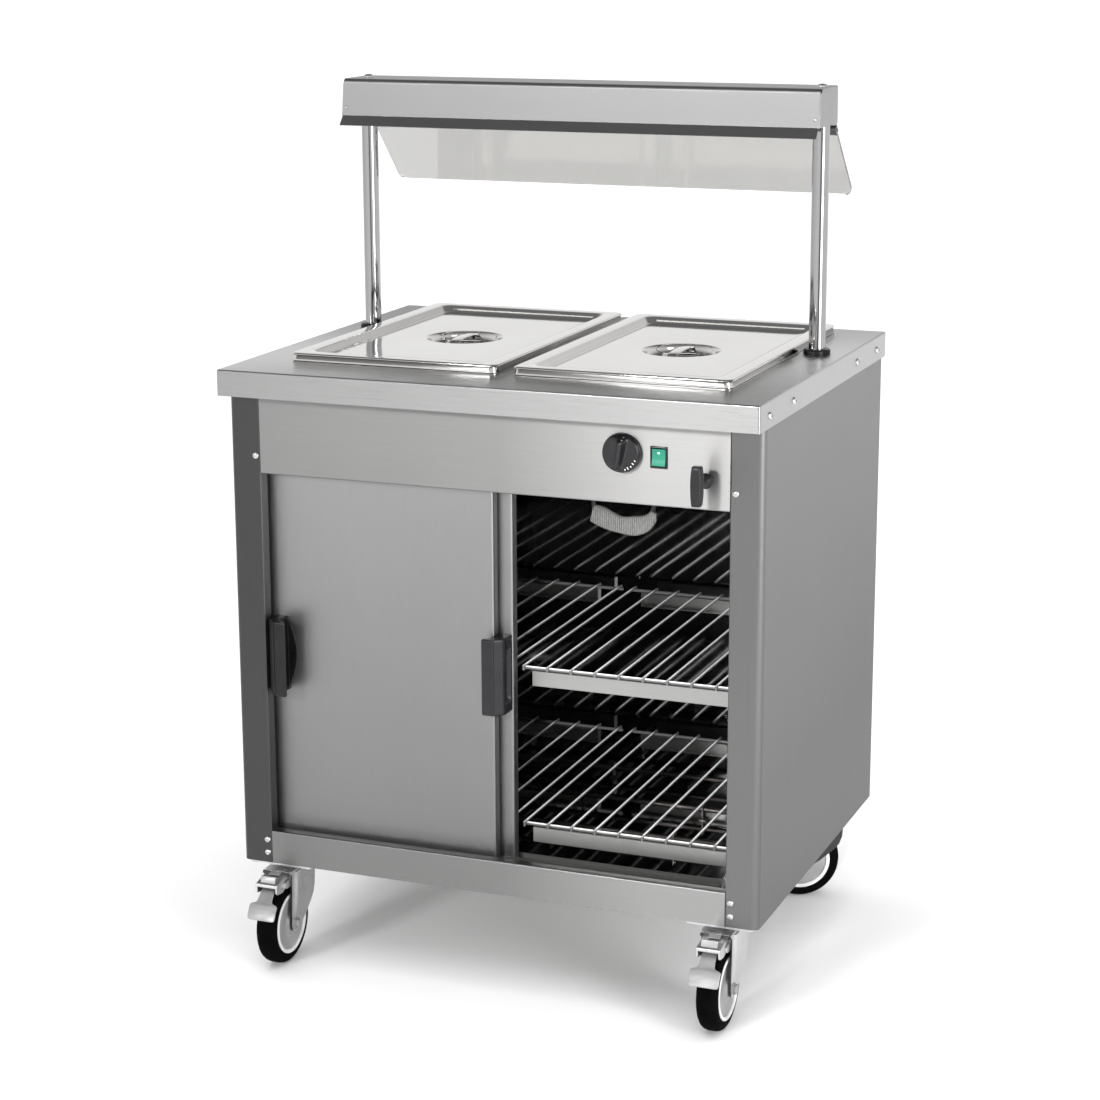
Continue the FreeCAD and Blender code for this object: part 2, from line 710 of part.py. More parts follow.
# ---- gantry -------------------------------------------------------------------------------------
def gantry_posts():
    tubes = []
    for x in (-post_x, post_x):
        outer = rod((x, post_y, worktop_height + 0.1), (x, post_y, hood_top - sheet - 0.1), post_radius)
        bore = rod((x, post_y, worktop_height), (x, post_y, hood_top), post_radius - post_wall)
        tubes.append(outer.cut(bore))
    return tubes


def post_collars():
    collars = []
    for x in (-post_x, post_x):
        ring = lathe([(0, post_radius + 0.1), (0, collar_radius), (collar_height - 2, collar_radius),
                      (collar_height, collar_radius - 2), (collar_height, post_radius + 0.1)],
                     (x, post_y, worktop_height + 0.1), "z")
        collars.append(ring)
    return collars


def gantry_hood():
    """Folded canopy: visor, front, top, back and an inward lip, open underneath."""
    half = sheet / 2
    front_low = hood_front - hood_lean
    points = [(front_low - visor_reach, hood_lower - visor_drop), (front_low, hood_lower),
              (hood_front + half, hood_top - half), (hood_back - half, hood_top - half),
              (hood_back + 1, hood_lower), (hood_back - hood_lip, hood_lower)]
    return bent_strip(points, [1.0, 6.0, 2.0, 1.0], "YZ", -hood_half_width, hood_half_width)


def hood_end_caps():
    """Plates that close the hood's two ends."""
    front_low = hood_front - hood_lean
    outline = [(front_low - 0.5, hood_lower), (hood_front + 0.2, hood_top - 7),
               (hood_front + 7, hood_top - 0.8), (hood_back - 0.3, hood_top - 0.8),
               (hood_back + 1.4, hood_lower)]
    cap = prism(outline, "YZ", hood_half_width + 0.1, hood_half_width + 1.3)
    return [cap, mirrored(cap)]


def gantry_reflector():
    """Polished trough above the lamps, hung from the hood's top."""
    points = [(56, 1250), (68, 1282), (104, 1282), (116, 1250)]
    trough = bent_strip(points, [3.0, 3.0], "YZ", -325, 325, 0.8)
    hangers = [block(x - 6, x + 6, 84, 90, 1282.4, hood_top - sheet - 0.1) for x in (-220, 220)]
    return fuse([trough] + hangers)


def quartz_lamps():
    """Two lamp tubes end to end, each with ceramic ends."""
    lamps = []
    for centre in (-160.0, 160.0):
        tube = rod((centre - 118, 86, 1264), (centre + 118, 86, 1264), 5.0)
        ends = [block(x - 11, x + 11, 79, 93, 1257, 1271) for x in (centre - 124, centre + 124)]
        clips = [block(x - 3, x + 3, 84, 88, 1271, 1281.5) for x in (centre - 124, centre + 124)]
        lamps.append(fuse([tube] + ends + clips))
    return lamps


def leaned(shape):
    """Lay a shape drawn along the glass's own axes at the glass's tilt."""
    return turned(shape, -glass_tilt, (0, glass_top_y, glass_top_z), (1, 0, 0))


def glass_screen():
    """Toughened pane with two rounded lower corners, drawn level and then tilted."""
    pane = block(-glass_half_width, glass_half_width, glass_top_y, glass_top_y + glass_length,
                 glass_top_z - glass_thickness, glass_top_z)
    corners = [edge for edge in pane.Edges
               if edge.BoundBox.YMin > glass_top_y + glass_length - 0.01
               and edge.BoundBox.ZLength > glass_thickness - 0.1]
    return leaned(pane.makeFillet(glass_corner, corners))


def glass_rail():
    """Channel that grips the pane's top edge, with a flange under the hood's lip."""
    half = glass_half_width + 1
    y0 = glass_top_y - 2.2
    lower, upper = glass_top_z - glass_thickness, glass_top_z
    grip = block(-half, half, y0, y0 + 14, lower - 1.8, upper + 1.8)
    slot = block(-half - 1, half + 1, glass_top_y - 0.2, y0 + 15, lower - 0.1, upper + 0.1)
    channel = leaned(grip.cut(slot))
    flange = block(-half, half, hood_back - hood_lip, hood_back + 5, hood_lower - sheet / 2 - 1.8,
                   hood_lower - sheet / 2 - 0.1)
    return fuse([channel, flange])


def fasteners():
    """Domed worktop bolts, panel screws, gantry nuts and castor plate bolts."""
    pieces = []
    lip_x = worktop_width / 2
    for side in (-1, 1):
        pieces += [dome_screw((side * lip_x, y, worktop_height - 21), "x", side, 5.5, 3.5)
                   for y in (-287.0, -172.0, 163.0, 279.0)]
        pieces += [dome_screw((side * (post_inner + screw_offset), body_front, z), "y", 1, 4.8, 2.4)
                   for z in (782.0, 193.0, 173.0)]
        pieces.append(dome_screw((side * post_x, post_y, hood_top), "z", 1, 8.0, 4.0))
        pieces.append(rod((side * post_x, post_y, worktop_height - 12),
                          (side * post_x, post_y, hood_top - sheet - 0.3), 4.0))
        pieces.append(rod((side * post_x, post_y, worktop_height - 12.2),
                          (side * post_x, post_y, worktop_height - sheet - 3.0), 7.5).cut(
            rod((side * post_x, post_y, worktop_height - 14), (side * post_x, post_y, worktop_height),
                4.1)))
        pieces.append(dome_screw((side * (hood_half_width - 6), hood_front - hood_lean + hood_screw_stand,
                                  hood_lower + 12), "y", 1, 2.6, 1.6))
    for x, y in castor_centres().values():
        for dx in (-1, 1):
            for dy in (-1, 1):
                head = (x + dx * (castor_plate_width / 2 - 10), y + dy * (castor_plate_depth / 2 - 10))
                pieces.append(dome_screw((head[0], head[1], body_bottom - 4.2), "z", -1, 6.5, 4.0))
    return pieces


# ---- castors, drawn with the swivel axis at the origin and the wheel trailing towards -Y ---------
def castor_plate():
    """Top plate and the fixed race of the swivel bearing."""
    plate = rounded_plate(-castor_plate_width / 2, castor_plate_width / 2, -castor_plate_depth / 2,
                          castor_plate_depth / 2, body_bottom - 4, body_bottom - 0.1, 8.0)
    race = lathe([(-5, 12), (-5, 29), (-3, 31), (0, 31), (0, 12)], (0, 0, body_bottom - 4), "z")
    return fuse([plate, race])


def brake_housing(crown_top):
    """Narrow channel that slopes down in front of the crown, with the release tab on top."""
    half, low = brake_half_width, 124.0
    root = -46.0
    roof = [(root, crown_top - 3), (root, crown_top - 0.5), (brake_front, 137.5), (brake_front, 135)]
    cheek = [(root, crown_top - 3), (brake_front, 136), (brake_front, low - 1), (root, low)]
    tab = [(-79, 137), (-87, 146.5), (-89, 145), (-82, 135.5)]
    cheeks = [prism(cheek, "YZ", x, x + brake_sheet) for x in (-half, half - brake_sheet)]
    return cheeks + [prism(roof, "YZ", -half, half), prism(tab, "YZ", -12, 12)]


def castor_fork(braked):
    """Crown, two pressed legs, the kingpin, and the axle; the front ones carry a brake housing."""
    crown_top = body_bottom - 9.5
    leg_outline = [(-58, crown_top), (24, crown_top), (22, 112), (12, 96), (-28, 56), (-36, 51.5),
                   (-46, 51.5), (-53, 57), (-55, 100)]
    legs = [prism(leg_outline, "YZ", x, x + 3) for x in (20, -23)]
    crown = rounded_plate(-23, 23, -60, 26, crown_top - 4, crown_top, 8.0)
    race = lathe([(0, 0), (0, 28), (-1, 30), (-4, 30), (-4, 0)], (0, 0, crown_top), "z")
    kingpin = rod((0, 0, crown_top - 3), (0, 0, body_bottom - 4.5), 11.5)
    pieces = legs + [crown, race, kingpin]
    extra = []
    if braked:
        pieces += brake_housing(crown_top)
        pin = brake_half_width - brake_sheet - 0.1
        extra.append(rod((-pin, pedal_pivot_y, pedal_pivot_z), (pin, pedal_pivot_y, pedal_pivot_z), 2.5))
    fork = fuse(pieces).cut(rod((-30, -castor_trail, wheel_radius), (30, -castor_trail, wheel_radius),
                                axle_radius + 0.1))
    shaft = rod((-23.5, -castor_trail, wheel_radius), (23.5, -castor_trail, wheel_radius), axle_radius)
    heads = [lathe([(0, 0), (0, 8.5), (side * 2, 8.5), (side * 5, 6), (side * 6, 0)],
                   (side * 23.1, -castor_trail, wheel_radius)) for side in (-1, 1)]
    return [fork, fuse([shaft] + heads)] + extra


def castor_wheel():
    """Wheel body: hub with its bore, a dished web and the rim that carries the tyre."""
    half = wheel_width / 2
    band = rim_radius - rim_band
    right = [(half, rim_radius), (half, band), (half - 3, band - 3), (half - 3, 15), (half + 2, 13),
             (half + 2, axle_radius + running_clearance)]
    left = [(-along, radius) for along, radius in reversed(right)]
    return lathe(left + right, (0, -castor_trail, wheel_radius))


def castor_tyre():
    """Rubber tread with rounded shoulders, seated on the rim."""
    half = wheel_width / 2 - 0.2
    shoulder = 8.0
    steps = 6
    crown = []
    for k in range(steps + 1):
        angle = math.pi / 2 * k / steps
        crown.append((-half + shoulder * (1 - math.cos(angle)),
                      wheel_radius - shoulder * (1 - math.sin(angle))))
    mirror_side = [(-along, radius) for along, radius in reversed(crown)]
    outline = [(-half, rim_radius + 0.05)] + crown + mirror_side + [(half, rim_radius + 0.05)]
    return lathe(outline, (0, -castor_trail, wheel_radius))


def brake_pedal():
    """Pressed pedal: a hub on the pivot pin, a neck and a wide tread in front of the tyre."""
    hub_half = brake_half_width - brake_sheet - 1
    pivot = (pedal_pivot_y, pedal_pivot_z)
    hub = rod((-hub_half, *pivot), (hub_half, *pivot), 4.6)
    neck = bent_strip([(pedal_pivot_y - 2, pedal_pivot_z), (-84, 127.5), (-102, 108)], [3.0], "YZ",
                      -11, 11, brake_sheet)
    tread = bent_strip([(-98.5, 112.5), (-106, 103), pedal_tip], [5.0], "YZ", -pedal_half_width,
                       pedal_half_width, brake_sheet)
    bore = rod((-hub_half - 1, *pivot), (hub_half + 1, *pivot), 2.5 + running_clearance)
    return fuse([hub, neck, tread]).cut(bore)


# ---- build --------------------------------------------------------------------------------------
def main():
    os.makedirs("parts", exist_ok=True)
    node("side_panel_right", side_panel())
    node("side_panel_left", mirrored(side_panel()))
    node("back_panel", back_panel())
    node("base_pan", base_pan())
    node("fascia", fascia())
    node("plinth", plinth())
    node("inner_liner", *inner_liner())
    node("insulation", *insulation())
    node("worktop", worktop())
    node("well_tank", well_tank())
    node("divider_bar", divider_bar())
    for side, sign in (("left", -1), ("right", 1)):
        node("pan_" + side, pan(sign * pan_centre_x))
        node("lid_" + side, lid(sign * pan_centre_x), lid_handle(sign * pan_centre_x))
    node("drain_pipe", *drain_pipe())
    node("drain_valve", drain_valve())
    node("drain_lever", drain_lever())
    node("well_element", well_element())
    node("well_conduit", well_conduit())
    node("base_element", *base_element())
    node("thermostat", *thermostat())
    node("control_knob", control_knob())
    node("switch_body", switch_body())
    node("rocker", rocker())
    node("cable_gland", cable_gland())
    node("door_track_bottom", door_track(track_floor, track_lip, track_end, body_bottom + sheet + 0.2))
    node("door_track_top", door_track(track_roof, track_roof_lip, liner_half_width - 1, track_roof))
    node("door_left", *door(front_door_right, front_door_face))
    node("door_right", *door(rear_door_right, rear_door_face))
    node("door_handle_left", door_handle(-352.0, front_door_face, -1))
    node("door_handle_right", door_handle(rear_door_right - 1.5, rear_door_face, 1))
    supports = [shelf_support(level) for level in shelf_levels.values()]
    node("shelf_supports", *supports, *[mirrored(support) for support in supports])
    for name, level in shelf_levels.items():
        first = rack_offset + rack_gap / 2
        node("rack_" + name + "_right", wire_rack(first, shelf_pitch, level))
        node("rack_" + name + "_left", wire_rack(first - rack_gap, -shelf_pitch, level))
    node("gantry_posts", *gantry_posts())
    node("post_collars", *post_collars())
    node("gantry_hood", gantry_hood(), *hood_end_caps())
    node("gantry_reflector", gantry_reflector())
    node("quartz_lamps", *quartz_lamps())
    node("glass_screen", glass_screen())
    node("glass_rail", glass_rail())
    node("fasteners", *fasteners())
    plates = []
    for corner, (x, y) in castor_centres().items():
        braked = corner.startswith("front")
        angle = castor_angles[corner]

        def placed(shape):
            return moved(turned(shape, angle, (0, 0, 0), (0, 0, 1)), x, y)

        plates.append(moved(castor_plate(), x, y))
        node("castor_fork_" + corner, *[placed(piece) for piece in castor_fork(braked)])
        node("castor_wheel_" + corner, placed(castor_wheel()))
        node("castor_tyre_" + corner, placed(castor_tyre()))
        if braked:
            node("brake_pedal_" + corner, placed(brake_pedal()))
    node("castor_plates", *plates)
    save_nodes()


main()
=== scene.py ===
import json
import math

import bmesh
import bpy
from mathutils import Matrix, Vector


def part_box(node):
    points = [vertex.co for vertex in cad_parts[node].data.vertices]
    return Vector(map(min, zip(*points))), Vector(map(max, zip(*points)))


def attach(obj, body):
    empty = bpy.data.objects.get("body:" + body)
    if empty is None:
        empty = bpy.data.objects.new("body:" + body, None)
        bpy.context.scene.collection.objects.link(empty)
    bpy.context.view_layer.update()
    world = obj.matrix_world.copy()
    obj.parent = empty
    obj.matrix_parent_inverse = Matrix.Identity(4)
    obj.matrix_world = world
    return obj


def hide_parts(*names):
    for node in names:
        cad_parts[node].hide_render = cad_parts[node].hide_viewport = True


# Looks of the food holding cabinet. Lengths are metres in the row frame: +X right, +Y back, +Z up.
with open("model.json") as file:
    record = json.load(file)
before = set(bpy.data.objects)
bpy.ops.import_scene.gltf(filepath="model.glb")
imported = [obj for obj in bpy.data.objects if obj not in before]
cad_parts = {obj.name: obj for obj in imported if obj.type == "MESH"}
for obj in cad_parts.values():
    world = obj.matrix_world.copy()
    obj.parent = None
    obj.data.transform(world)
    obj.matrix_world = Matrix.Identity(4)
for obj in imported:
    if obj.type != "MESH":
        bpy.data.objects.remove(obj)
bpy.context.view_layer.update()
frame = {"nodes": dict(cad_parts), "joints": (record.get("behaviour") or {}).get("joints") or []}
nodes = frame["nodes"]

CORNERS = ("front_left", "front_right", "rear_left", "rear_right")


# ---- materials ----------------------------------------------------------------------------------
def new_material(name):
    """A material with an empty Principled shader; returns the material, its tree and its shader."""
    material = bpy.data.materials.new(name)
    material.use_nodes = True
    tree = material.node_tree
    return material, tree, tree.nodes["Principled BSDF"]


def coordinates(tree, scale=(1.0, 1.0, 1.0)):
    """Object coordinates, which are row-frame metres here, stretched by a scale on each axis."""
    source = tree.nodes.new("ShaderNodeTexCoord")
    mapping = tree.nodes.new("ShaderNodeMapping")
    mapping.inputs["Scale"].default_value = scale
    tree.links.new(source.outputs["Object"], mapping.inputs["Vector"])
    return mapping.outputs["Vector"]


def surface_normal(tree):
    """The normal in the object's own axes, so that painted shade turns with its piece."""
    return tree.nodes.new("ShaderNodeTexCoord").outputs["Normal"]


def part_of(tree, vector, axis):
    """One coordinate of a vector socket."""
    node = tree.nodes.new("ShaderNodeSeparateXYZ")
    tree.links.new(vector, node.inputs["Vector"])
    return node.outputs[axis]


def noise(tree, scale, size=1.0, detail=3.0, rough=0.55):
    node = tree.nodes.new("ShaderNodeTexNoise")
    node.inputs["Scale"].default_value = size
    node.inputs["Detail"].default_value = detail
    node.inputs["Roughness"].default_value = rough
    tree.links.new(coordinates(tree, scale), node.inputs["Vector"])
    return node.outputs["Fac"]


def ramp(tree, value, low, high, start=0.3, end=0.7):
    """A ramp from one colour to another across part of a value's range."""
    node = tree.nodes.new("ShaderNodeValToRGB")
    node.color_ramp.elements[0].position = start
    node.color_ramp.elements[1].position = end
    node.color_ramp.elements[0].color = (*low, 1.0)
    node.color_ramp.elements[1].color = (*high, 1.0)
    tree.links.new(value, node.inputs["Fac"])
    return node.outputs["Color"]


def spread(tree, value, low, high, start=0.3, end=0.7):
    """A number mapped from part of a value's range."""
    node = tree.nodes.new("ShaderNodeMapRange")
    for socket, number in (("From Min", start), ("From Max", end), ("To Min", low), ("To Max", high)):
        node.inputs[socket].default_value = number
    tree.links.new(value, node.inputs["Value"])
    return node.outputs["Result"]


def blend_colours(tree, factor, first, second, mode="MIX"):
    node = tree.nodes.new("ShaderNodeMix")
    node.data_type = "RGBA"
    node.blend_type = mode
    for socket, value in ((0, factor), (6, first), (7, second)):
        if isinstance(value, bpy.types.NodeSocket):
            tree.links.new(value, node.inputs[socket])
        elif isinstance(value, tuple):
            node.inputs[socket].default_value = (*value, 1.0)
        else:
            node.inputs[socket].default_value = value
    return node.outputs[2]


def add_bump(tree, shader, height, strength, distance):
    node = tree.nodes.new("ShaderNodeBump")
    node.inputs["Strength"].default_value = strength
    node.inputs["Distance"].default_value = distance
    tree.links.new(height, node.inputs["Height"])
    tree.links.new(node.outputs["Normal"], shader.inputs["Normal"])


def scaled(colour, factor):
    return tuple(min(1.0, channel * factor) for channel in colour)


WHITE = (1.0, 1.0, 1.0)
# How finely a brushed surface's streaks repeat along each axis, per metre.
GRAIN = {"x": (9.0, 900.0, 900.0), "z": (900.0, 900.0, 9.0), "sheet": (260.0, 260.0, 24.0)}
# Where brushed steel's painted shade towards the left starts and ends along X, and the height its
# painted shade downwards starts at.
LEFT_PAINTED_SHADE = (0.02, 0.24)
LOW_PAINTED_SHADE_TOP = 0.85
# An upright tube's painted reflection, a narrow dark streak: (how far it looks towards STREAK_SIDE, as
# 0 to 1; share of its tone).
STREAK_SIDE = (0.93, 0.37, 0.0)
TUBE_PAINTED_STREAK = ((0.30, 1.0), (0.42, 1.0), (0.455, 0.28), (0.50, 0.22), (0.54, 1.0))
# Where the wire's painted shade at the back bar and at the front bar starts and ends, measured in
# metres from the rack's own edges.
BACK_BAR_PAINTED_SHADE = (0.03, 0.012)
FRONT_BAR_PAINTED_SHADE = (0.005, 0.010)


def painted_shade_front_mask(tree, least=-0.95, most=-0.1):
    """The mask of the painted shade on front faces: 1 on the faces towards -Y, falling to 0 on those
    that look sideways.
    """
    return spread(tree, part_of(tree, surface_normal(tree), "Y"), 1.0, 0.0, least, most)


def brushed_steel(name, colour, roughness, grain, anisotropy=0.0, contrast=0.06, front=1.0, low=1.0,
                  fade_from=0.25, left=1.0):
    """Brushed stainless: fine streaks in colour and roughness along the grain, and soft smears.
    left paints shade over the left half, so that the right end looks lit by a highlight; low paints
    shade downwards to the height fade_from. front paints shade on the faces towards -Y, which low then
    leaves alone."""
    material, tree, shader = new_material(name)
    streaks = noise(tree, GRAIN[grain], detail=4.0, rough=0.7)
    smears = noise(tree, (3.0, 3.0, 2.2), detail=2.0)
    fine = ramp(tree, streaks, scaled(colour, 1 - contrast), scaled(colour, 1 + contrast))
    soft = ramp(tree, smears, (0.95, 0.95, 0.95), WHITE)
    shade = blend_colours(tree, 1.0, fine, soft, "MULTIPLY")
    # Painted shade: darker towards the left end, so the right end looks highlighted.
    if left < 1.0:
        fade = ramp(tree, part_of(tree, coordinates(tree), "X"), (left,) * 3, WHITE, *LEFT_PAINTED_SHADE)
        shade = blend_colours(tree, 1.0, shade, fade, "MULTIPLY")
    bright = shade
    # Painted shade: darker downwards.
    if low < 1.0:
        height = part_of(tree, coordinates(tree), "Z")
        fade = ramp(tree, height, (low,) * 3, WHITE, fade_from, LOW_PAINTED_SHADE_TOP)
        shade = blend_colours(tree, 1.0, shade, fade, "MULTIPLY")
    # Painted shade on the faces towards -Y.
    if front < 1.0:
        front_painted_shade = blend_colours(tree, 1.0, bright, (front,) * 3, "MULTIPLY")
        shade = blend_colours(tree, painted_shade_front_mask(tree), shade, front_painted_shade)
    tree.links.new(shade, shader.inputs["Base Color"])
    shader.inputs["Metallic"].default_value = 1.0
    shader.inputs["Anisotropic"].default_value = anisotropy
    if anisotropy:
        tangent = tree.nodes.new("ShaderNodeTangent")
        tangent.direction_type = "RADIAL"
        tangent.axis = "Z"
        tree.links.new(tangent.outputs["Tangent"], shader.inputs["Tangent"])
        shader.inputs["Anisotropic Rotation"].default_value = 0.25 if grain == "x" else 0.0
    rough = spread(tree, streaks, roughness - 0.04, roughness + 0.04)
    tree.links.new(rough, shader.inputs["Roughness"])
    add_bump(tree, shader, streaks, 0.05, 0.0002)
    return material


def polished_metal(name, colour, roughness, tint=0.04, metallic=1.0, front=1.0):
    """Bright pressed or plated metal, with faint cloudiness and wiping marks; a low metallic value
    stands for a plating that scatters light. front paints shade on the faces towards -Y."""
    material, tree, shader = new_material(name)
    cloud = noise(tree, (14.0, 14.0, 14.0), detail=4.0)
    wipes = noise(tree, (40.0, 160.0, 90.0), detail=3.0)
    shade = ramp(tree, cloud, scaled(colour, 1 - tint), scaled(colour, 1 + tint))
    # Painted shade on the faces towards -Y.
    if front < 1.0:
        shade = blend_colours(tree, painted_shade_front_mask(tree, -0.9, -0.6), shade, scaled(colour, front))
    tree.links.new(shade, shader.inputs["Base Color"])
    shader.inputs["Metallic"].default_value = metallic
    tree.links.new(spread(tree, wipes, roughness * 0.7, roughness * 1.4), shader.inputs["Roughness"])
    add_bump(tree, shader, wipes, 0.006, 0.0004)
    return material


def chrome_tube(name, colour, roughness):
    """Bright tube: a grey mirror with a painted reflection, the narrow dark streak that an upright tube
    picks up in front, and painted shade on the side that looks away from STREAK_SIDE.
    """
    material, tree, shader = new_material(name)
    wipes = noise(tree, (60.0, 60.0, 6.0), detail=3.0)
    # Painted reflection and shade: a dark streak, and darker towards the side away from STREAK_SIDE.
    across = tree.nodes.new("ShaderNodeVectorMath")
    across.operation = "DOT_PRODUCT"
    across.inputs[1].default_value = STREAK_SIDE
    tree.links.new(surface_normal(tree), across.inputs[0])
    streak = tree.nodes.new("ShaderNodeValToRGB")
    elements = streak.color_ramp.elements
    elements[0].position, elements[0].color = 0.0, (0.75, 0.75, 0.75, 1.0)
    elements[1].position, elements[1].color = 1.0, (1.0, 1.0, 1.0, 1.0)
    for place, shade in TUBE_PAINTED_STREAK:
        elements.new(place).color = (shade, shade, shade, 1.0)
    tree.links.new(spread(tree, across.outputs["Value"], 0.0, 1.0, -1.0, 1.0), streak.inputs["Fac"])
    tone = ramp(tree, wipes, scaled(colour, 0.96), scaled(colour, 1.04))
    tree.links.new(blend_colours(tree, 1.0, tone, streak.outputs["Color"], "MULTIPLY"),
                   shader.inputs["Base Color"])
    shader.inputs["Metallic"].default_value = 1.0
    tree.links.new(spread(tree, wipes, roughness * 0.8, roughness * 1.3), shader.inputs["Roughness"])
    return material


def plated_wire(name, colour, roughness):
    """Plated rack wire: a painted highlight along its top, painted shade down its sides, and painted
    shade at the rack's two bars.
    """
    low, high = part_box("rack_lower_left")
    material, tree, shader = new_material(name)
    wipes = noise(tree, (40.0, 160.0, 90.0), detail=3.0)
    # Painted highlight along the top and painted shade down the sides.
    upward = part_of(tree, surface_normal(tree), "Z")
    tone = ramp(tree, upward, scaled(colour, 0.10), colour, 0.45, 0.85)
    depth = part_of(tree, coordinates(tree), "Y")
    behind = spread(tree, depth, 0.0, 1.0, *(high.y - inset for inset in BACK_BAR_PAINTED_SHADE))
    before = spread(tree, depth, 0.55, 0.0, *(low.y + inset for inset in FRONT_BAR_PAINTED_SHADE))
    # Painted shade at the back bar and the front bar.
    for share in (behind, before):
        tone = blend_colours(tree, share, tone, scaled(colour, 0.06))
    tree.links.new(tone, shader.inputs["Base Color"])
    shader.inputs["Metallic"].default_value = 0.1
    tree.links.new(spread(tree, wipes, roughness * 0.8, roughness * 1.2), shader.inputs["Roughness"])
    return material


def moulded_plastic(name, colour, roughness, grain_size=900.0, bump=0.12, gloss=0.5):
    """Moulded plastic with a fine spark-eroded grain and slightly worn patches."""
    material, tree, shader = new_material(name)
    grain = noise(tree, (grain_size,) * 3, detail=2.0)
    wear = noise(tree, (22.0, 22.0, 22.0), detail=4.0)
    shade = ramp(tree, wear, scaled(colour, 0.82), scaled(colour, 1.25))
    tree.links.new(shade, shader.inputs["Base Color"])
    tree.links.new(spread(tree, wear, roughness - 0.07, roughness + 0.1), shader.inputs["Roughness"])
    shader.inputs["Specular IOR Level"].default_value = gloss
    add_bump(tree, shader, grain, bump, 0.0003)
    return material


def rubber(name, colour, roughness):
    """Tyre rubber: dusty in patches, with a fine moulded texture."""
    material, tree, shader = new_material(name)
    dust = noise(tree, (60.0, 60.0, 60.0), detail=5.0)
    pores = noise(tree, (1400.0,) * 3, detail=2.0)
    tree.links.new(ramp(tree, dust, scaled(colour, 0.7), scaled(colour, 1.6), 0.35, 0.75),
                   shader.inputs["Base Color"])
    tree.links.new(spread(tree, dust, roughness - 0.06, roughness + 0.08), shader.inputs["Roughness"])
    shader.inputs["Specular IOR Level"].default_value = 0.02
    add_bump(tree, shader, pores, 0.15, 0.0002)
    return material


def clear_glass(name, colour, roughness):
    material, tree, shader = new_material(name)
    haze = noise(tree, (6.0, 6.0, 6.0), detail=3.0)
    tree.links.new(ramp(tree, haze, scaled(colour, 0.985), colour), shader.inputs["Base Color"])
    tree.links.new(spread(tree, haze, roughness * 0.5, roughness * 1.5), shader.inputs["Roughness"])
    shader.inputs["Transmission Weight"].default_value = 1.0
    shader.inputs["IOR"].default_value = 1.5
    return material


def fibre(name, colour, size, bump):
    """Woven or matted fibre, rough and without gloss."""
    material, tree, shader = new_material(name)
    strands = noise(tree, (size, size, size * 0.4), detail=5.0, rough=0.7)
    shade = ramp(tree, strands, scaled(colour, 0.55), scaled(colour, 1.3))
    tree.links.new(shade, shader.inputs["Base Color"])
    tree.links.new(spread(tree, strands, 0.75, 0.95), shader.inputs["Roughness"])
    add_bump(tree, shader, strands, bump, 0.0015)
    return material


def woven_sleeve(name, colour):
    """Braided sleeve: strands with dark gaps across it every few millimetres."""
    material, tree, shader = new_material(name)
    strands = noise(tree, (700.0, 700.0, 300.0), detail=5.0, rough=0.7)
    gaps = tree.nodes.new("ShaderNodeTexWave")
    gaps.inputs["Scale"].default_value = 110.0
    gaps.inputs["Distortion"].default_value = 2.5
    gaps.inputs["Detail"].default_value = 2.0
    tree.links.new(coordinates(tree, (1.0, 0.2, 0.25)), gaps.inputs["Vector"])
    fine = ramp(tree, strands, scaled(colour, 0.5), scaled(colour, 1.5))
    lines = ramp(tree, gaps.outputs["Fac"], (0.25, 0.25, 0.25), WHITE, 0.05, 0.45)
    tree.links.new(blend_colours(tree, 1.0, fine, lines, "MULTIPLY"), shader.inputs["Base Color"])
    tree.links.new(spread(tree, strands, 0.6, 0.85), shader.inputs["Roughness"])
    add_bump(tree, shader, gaps.outputs["Fac"], 0.5, 0.0008)
    return material


# Painted shade in these steels: low darkens downwards, left darkens towards the left end, and front
# darkens the faces towards -Y; the left side panel's steel is the right one's with darker painted shade
# on its front faces.
door_steel = brushed_steel("door_steel", (0.335, 0.33, 0.33), 0.42, "sheet", contrast=0.03, low=0.71)
side_steel = brushed_steel("side_steel", (0.225, 0.224, 0.224), 0.40, "z", 0.5, front=0.82, low=0.62,
                           fade_from=0.35)
left_side_steel_painted_shade = brushed_steel("left_side_steel_painted_shade", (0.225, 0.224, 0.224), 0.40, "z", 0.5, front=0.34,
                                low=0.62, fade_from=0.35)
fascia_steel = brushed_steel("fascia_steel", (0.40, 0.397, 0.393), 0.36, "x", 0.8, contrast=0.04,
                             low=0.72, left=0.68)
top_steel = brushed_steel("top_steel", (0.40, 0.40, 0.397), 0.30, "x", 0.85, contrast=0.04, front=0.90)
hood_steel = brushed_steel("hood_steel", (0.34, 0.337, 0.338), 0.40, "x", contrast=0.02, front=0.66)
plain_steel = brushed_steel("plain_steel", (0.40, 0.40, 0.39), 0.42, "x", contrast=0.05)
pressed_steel = polished_metal("pressed_steel", (0.72, 0.71, 0.69), 0.10)
dark_mirror = polished_metal("dark_mirror", (0.50, 0.50, 0.50), 0.05)
bright_bar = chrome_tube("bright_bar", (0.38, 0.38, 0.385), 0.07)
bright_wire = plated_wire("bright_wire", (0.90, 0.90, 0.90), 0.30)
zinc = polished_metal("zinc", (0.60, 0.60, 0.605), 0.34, tint=0.08)
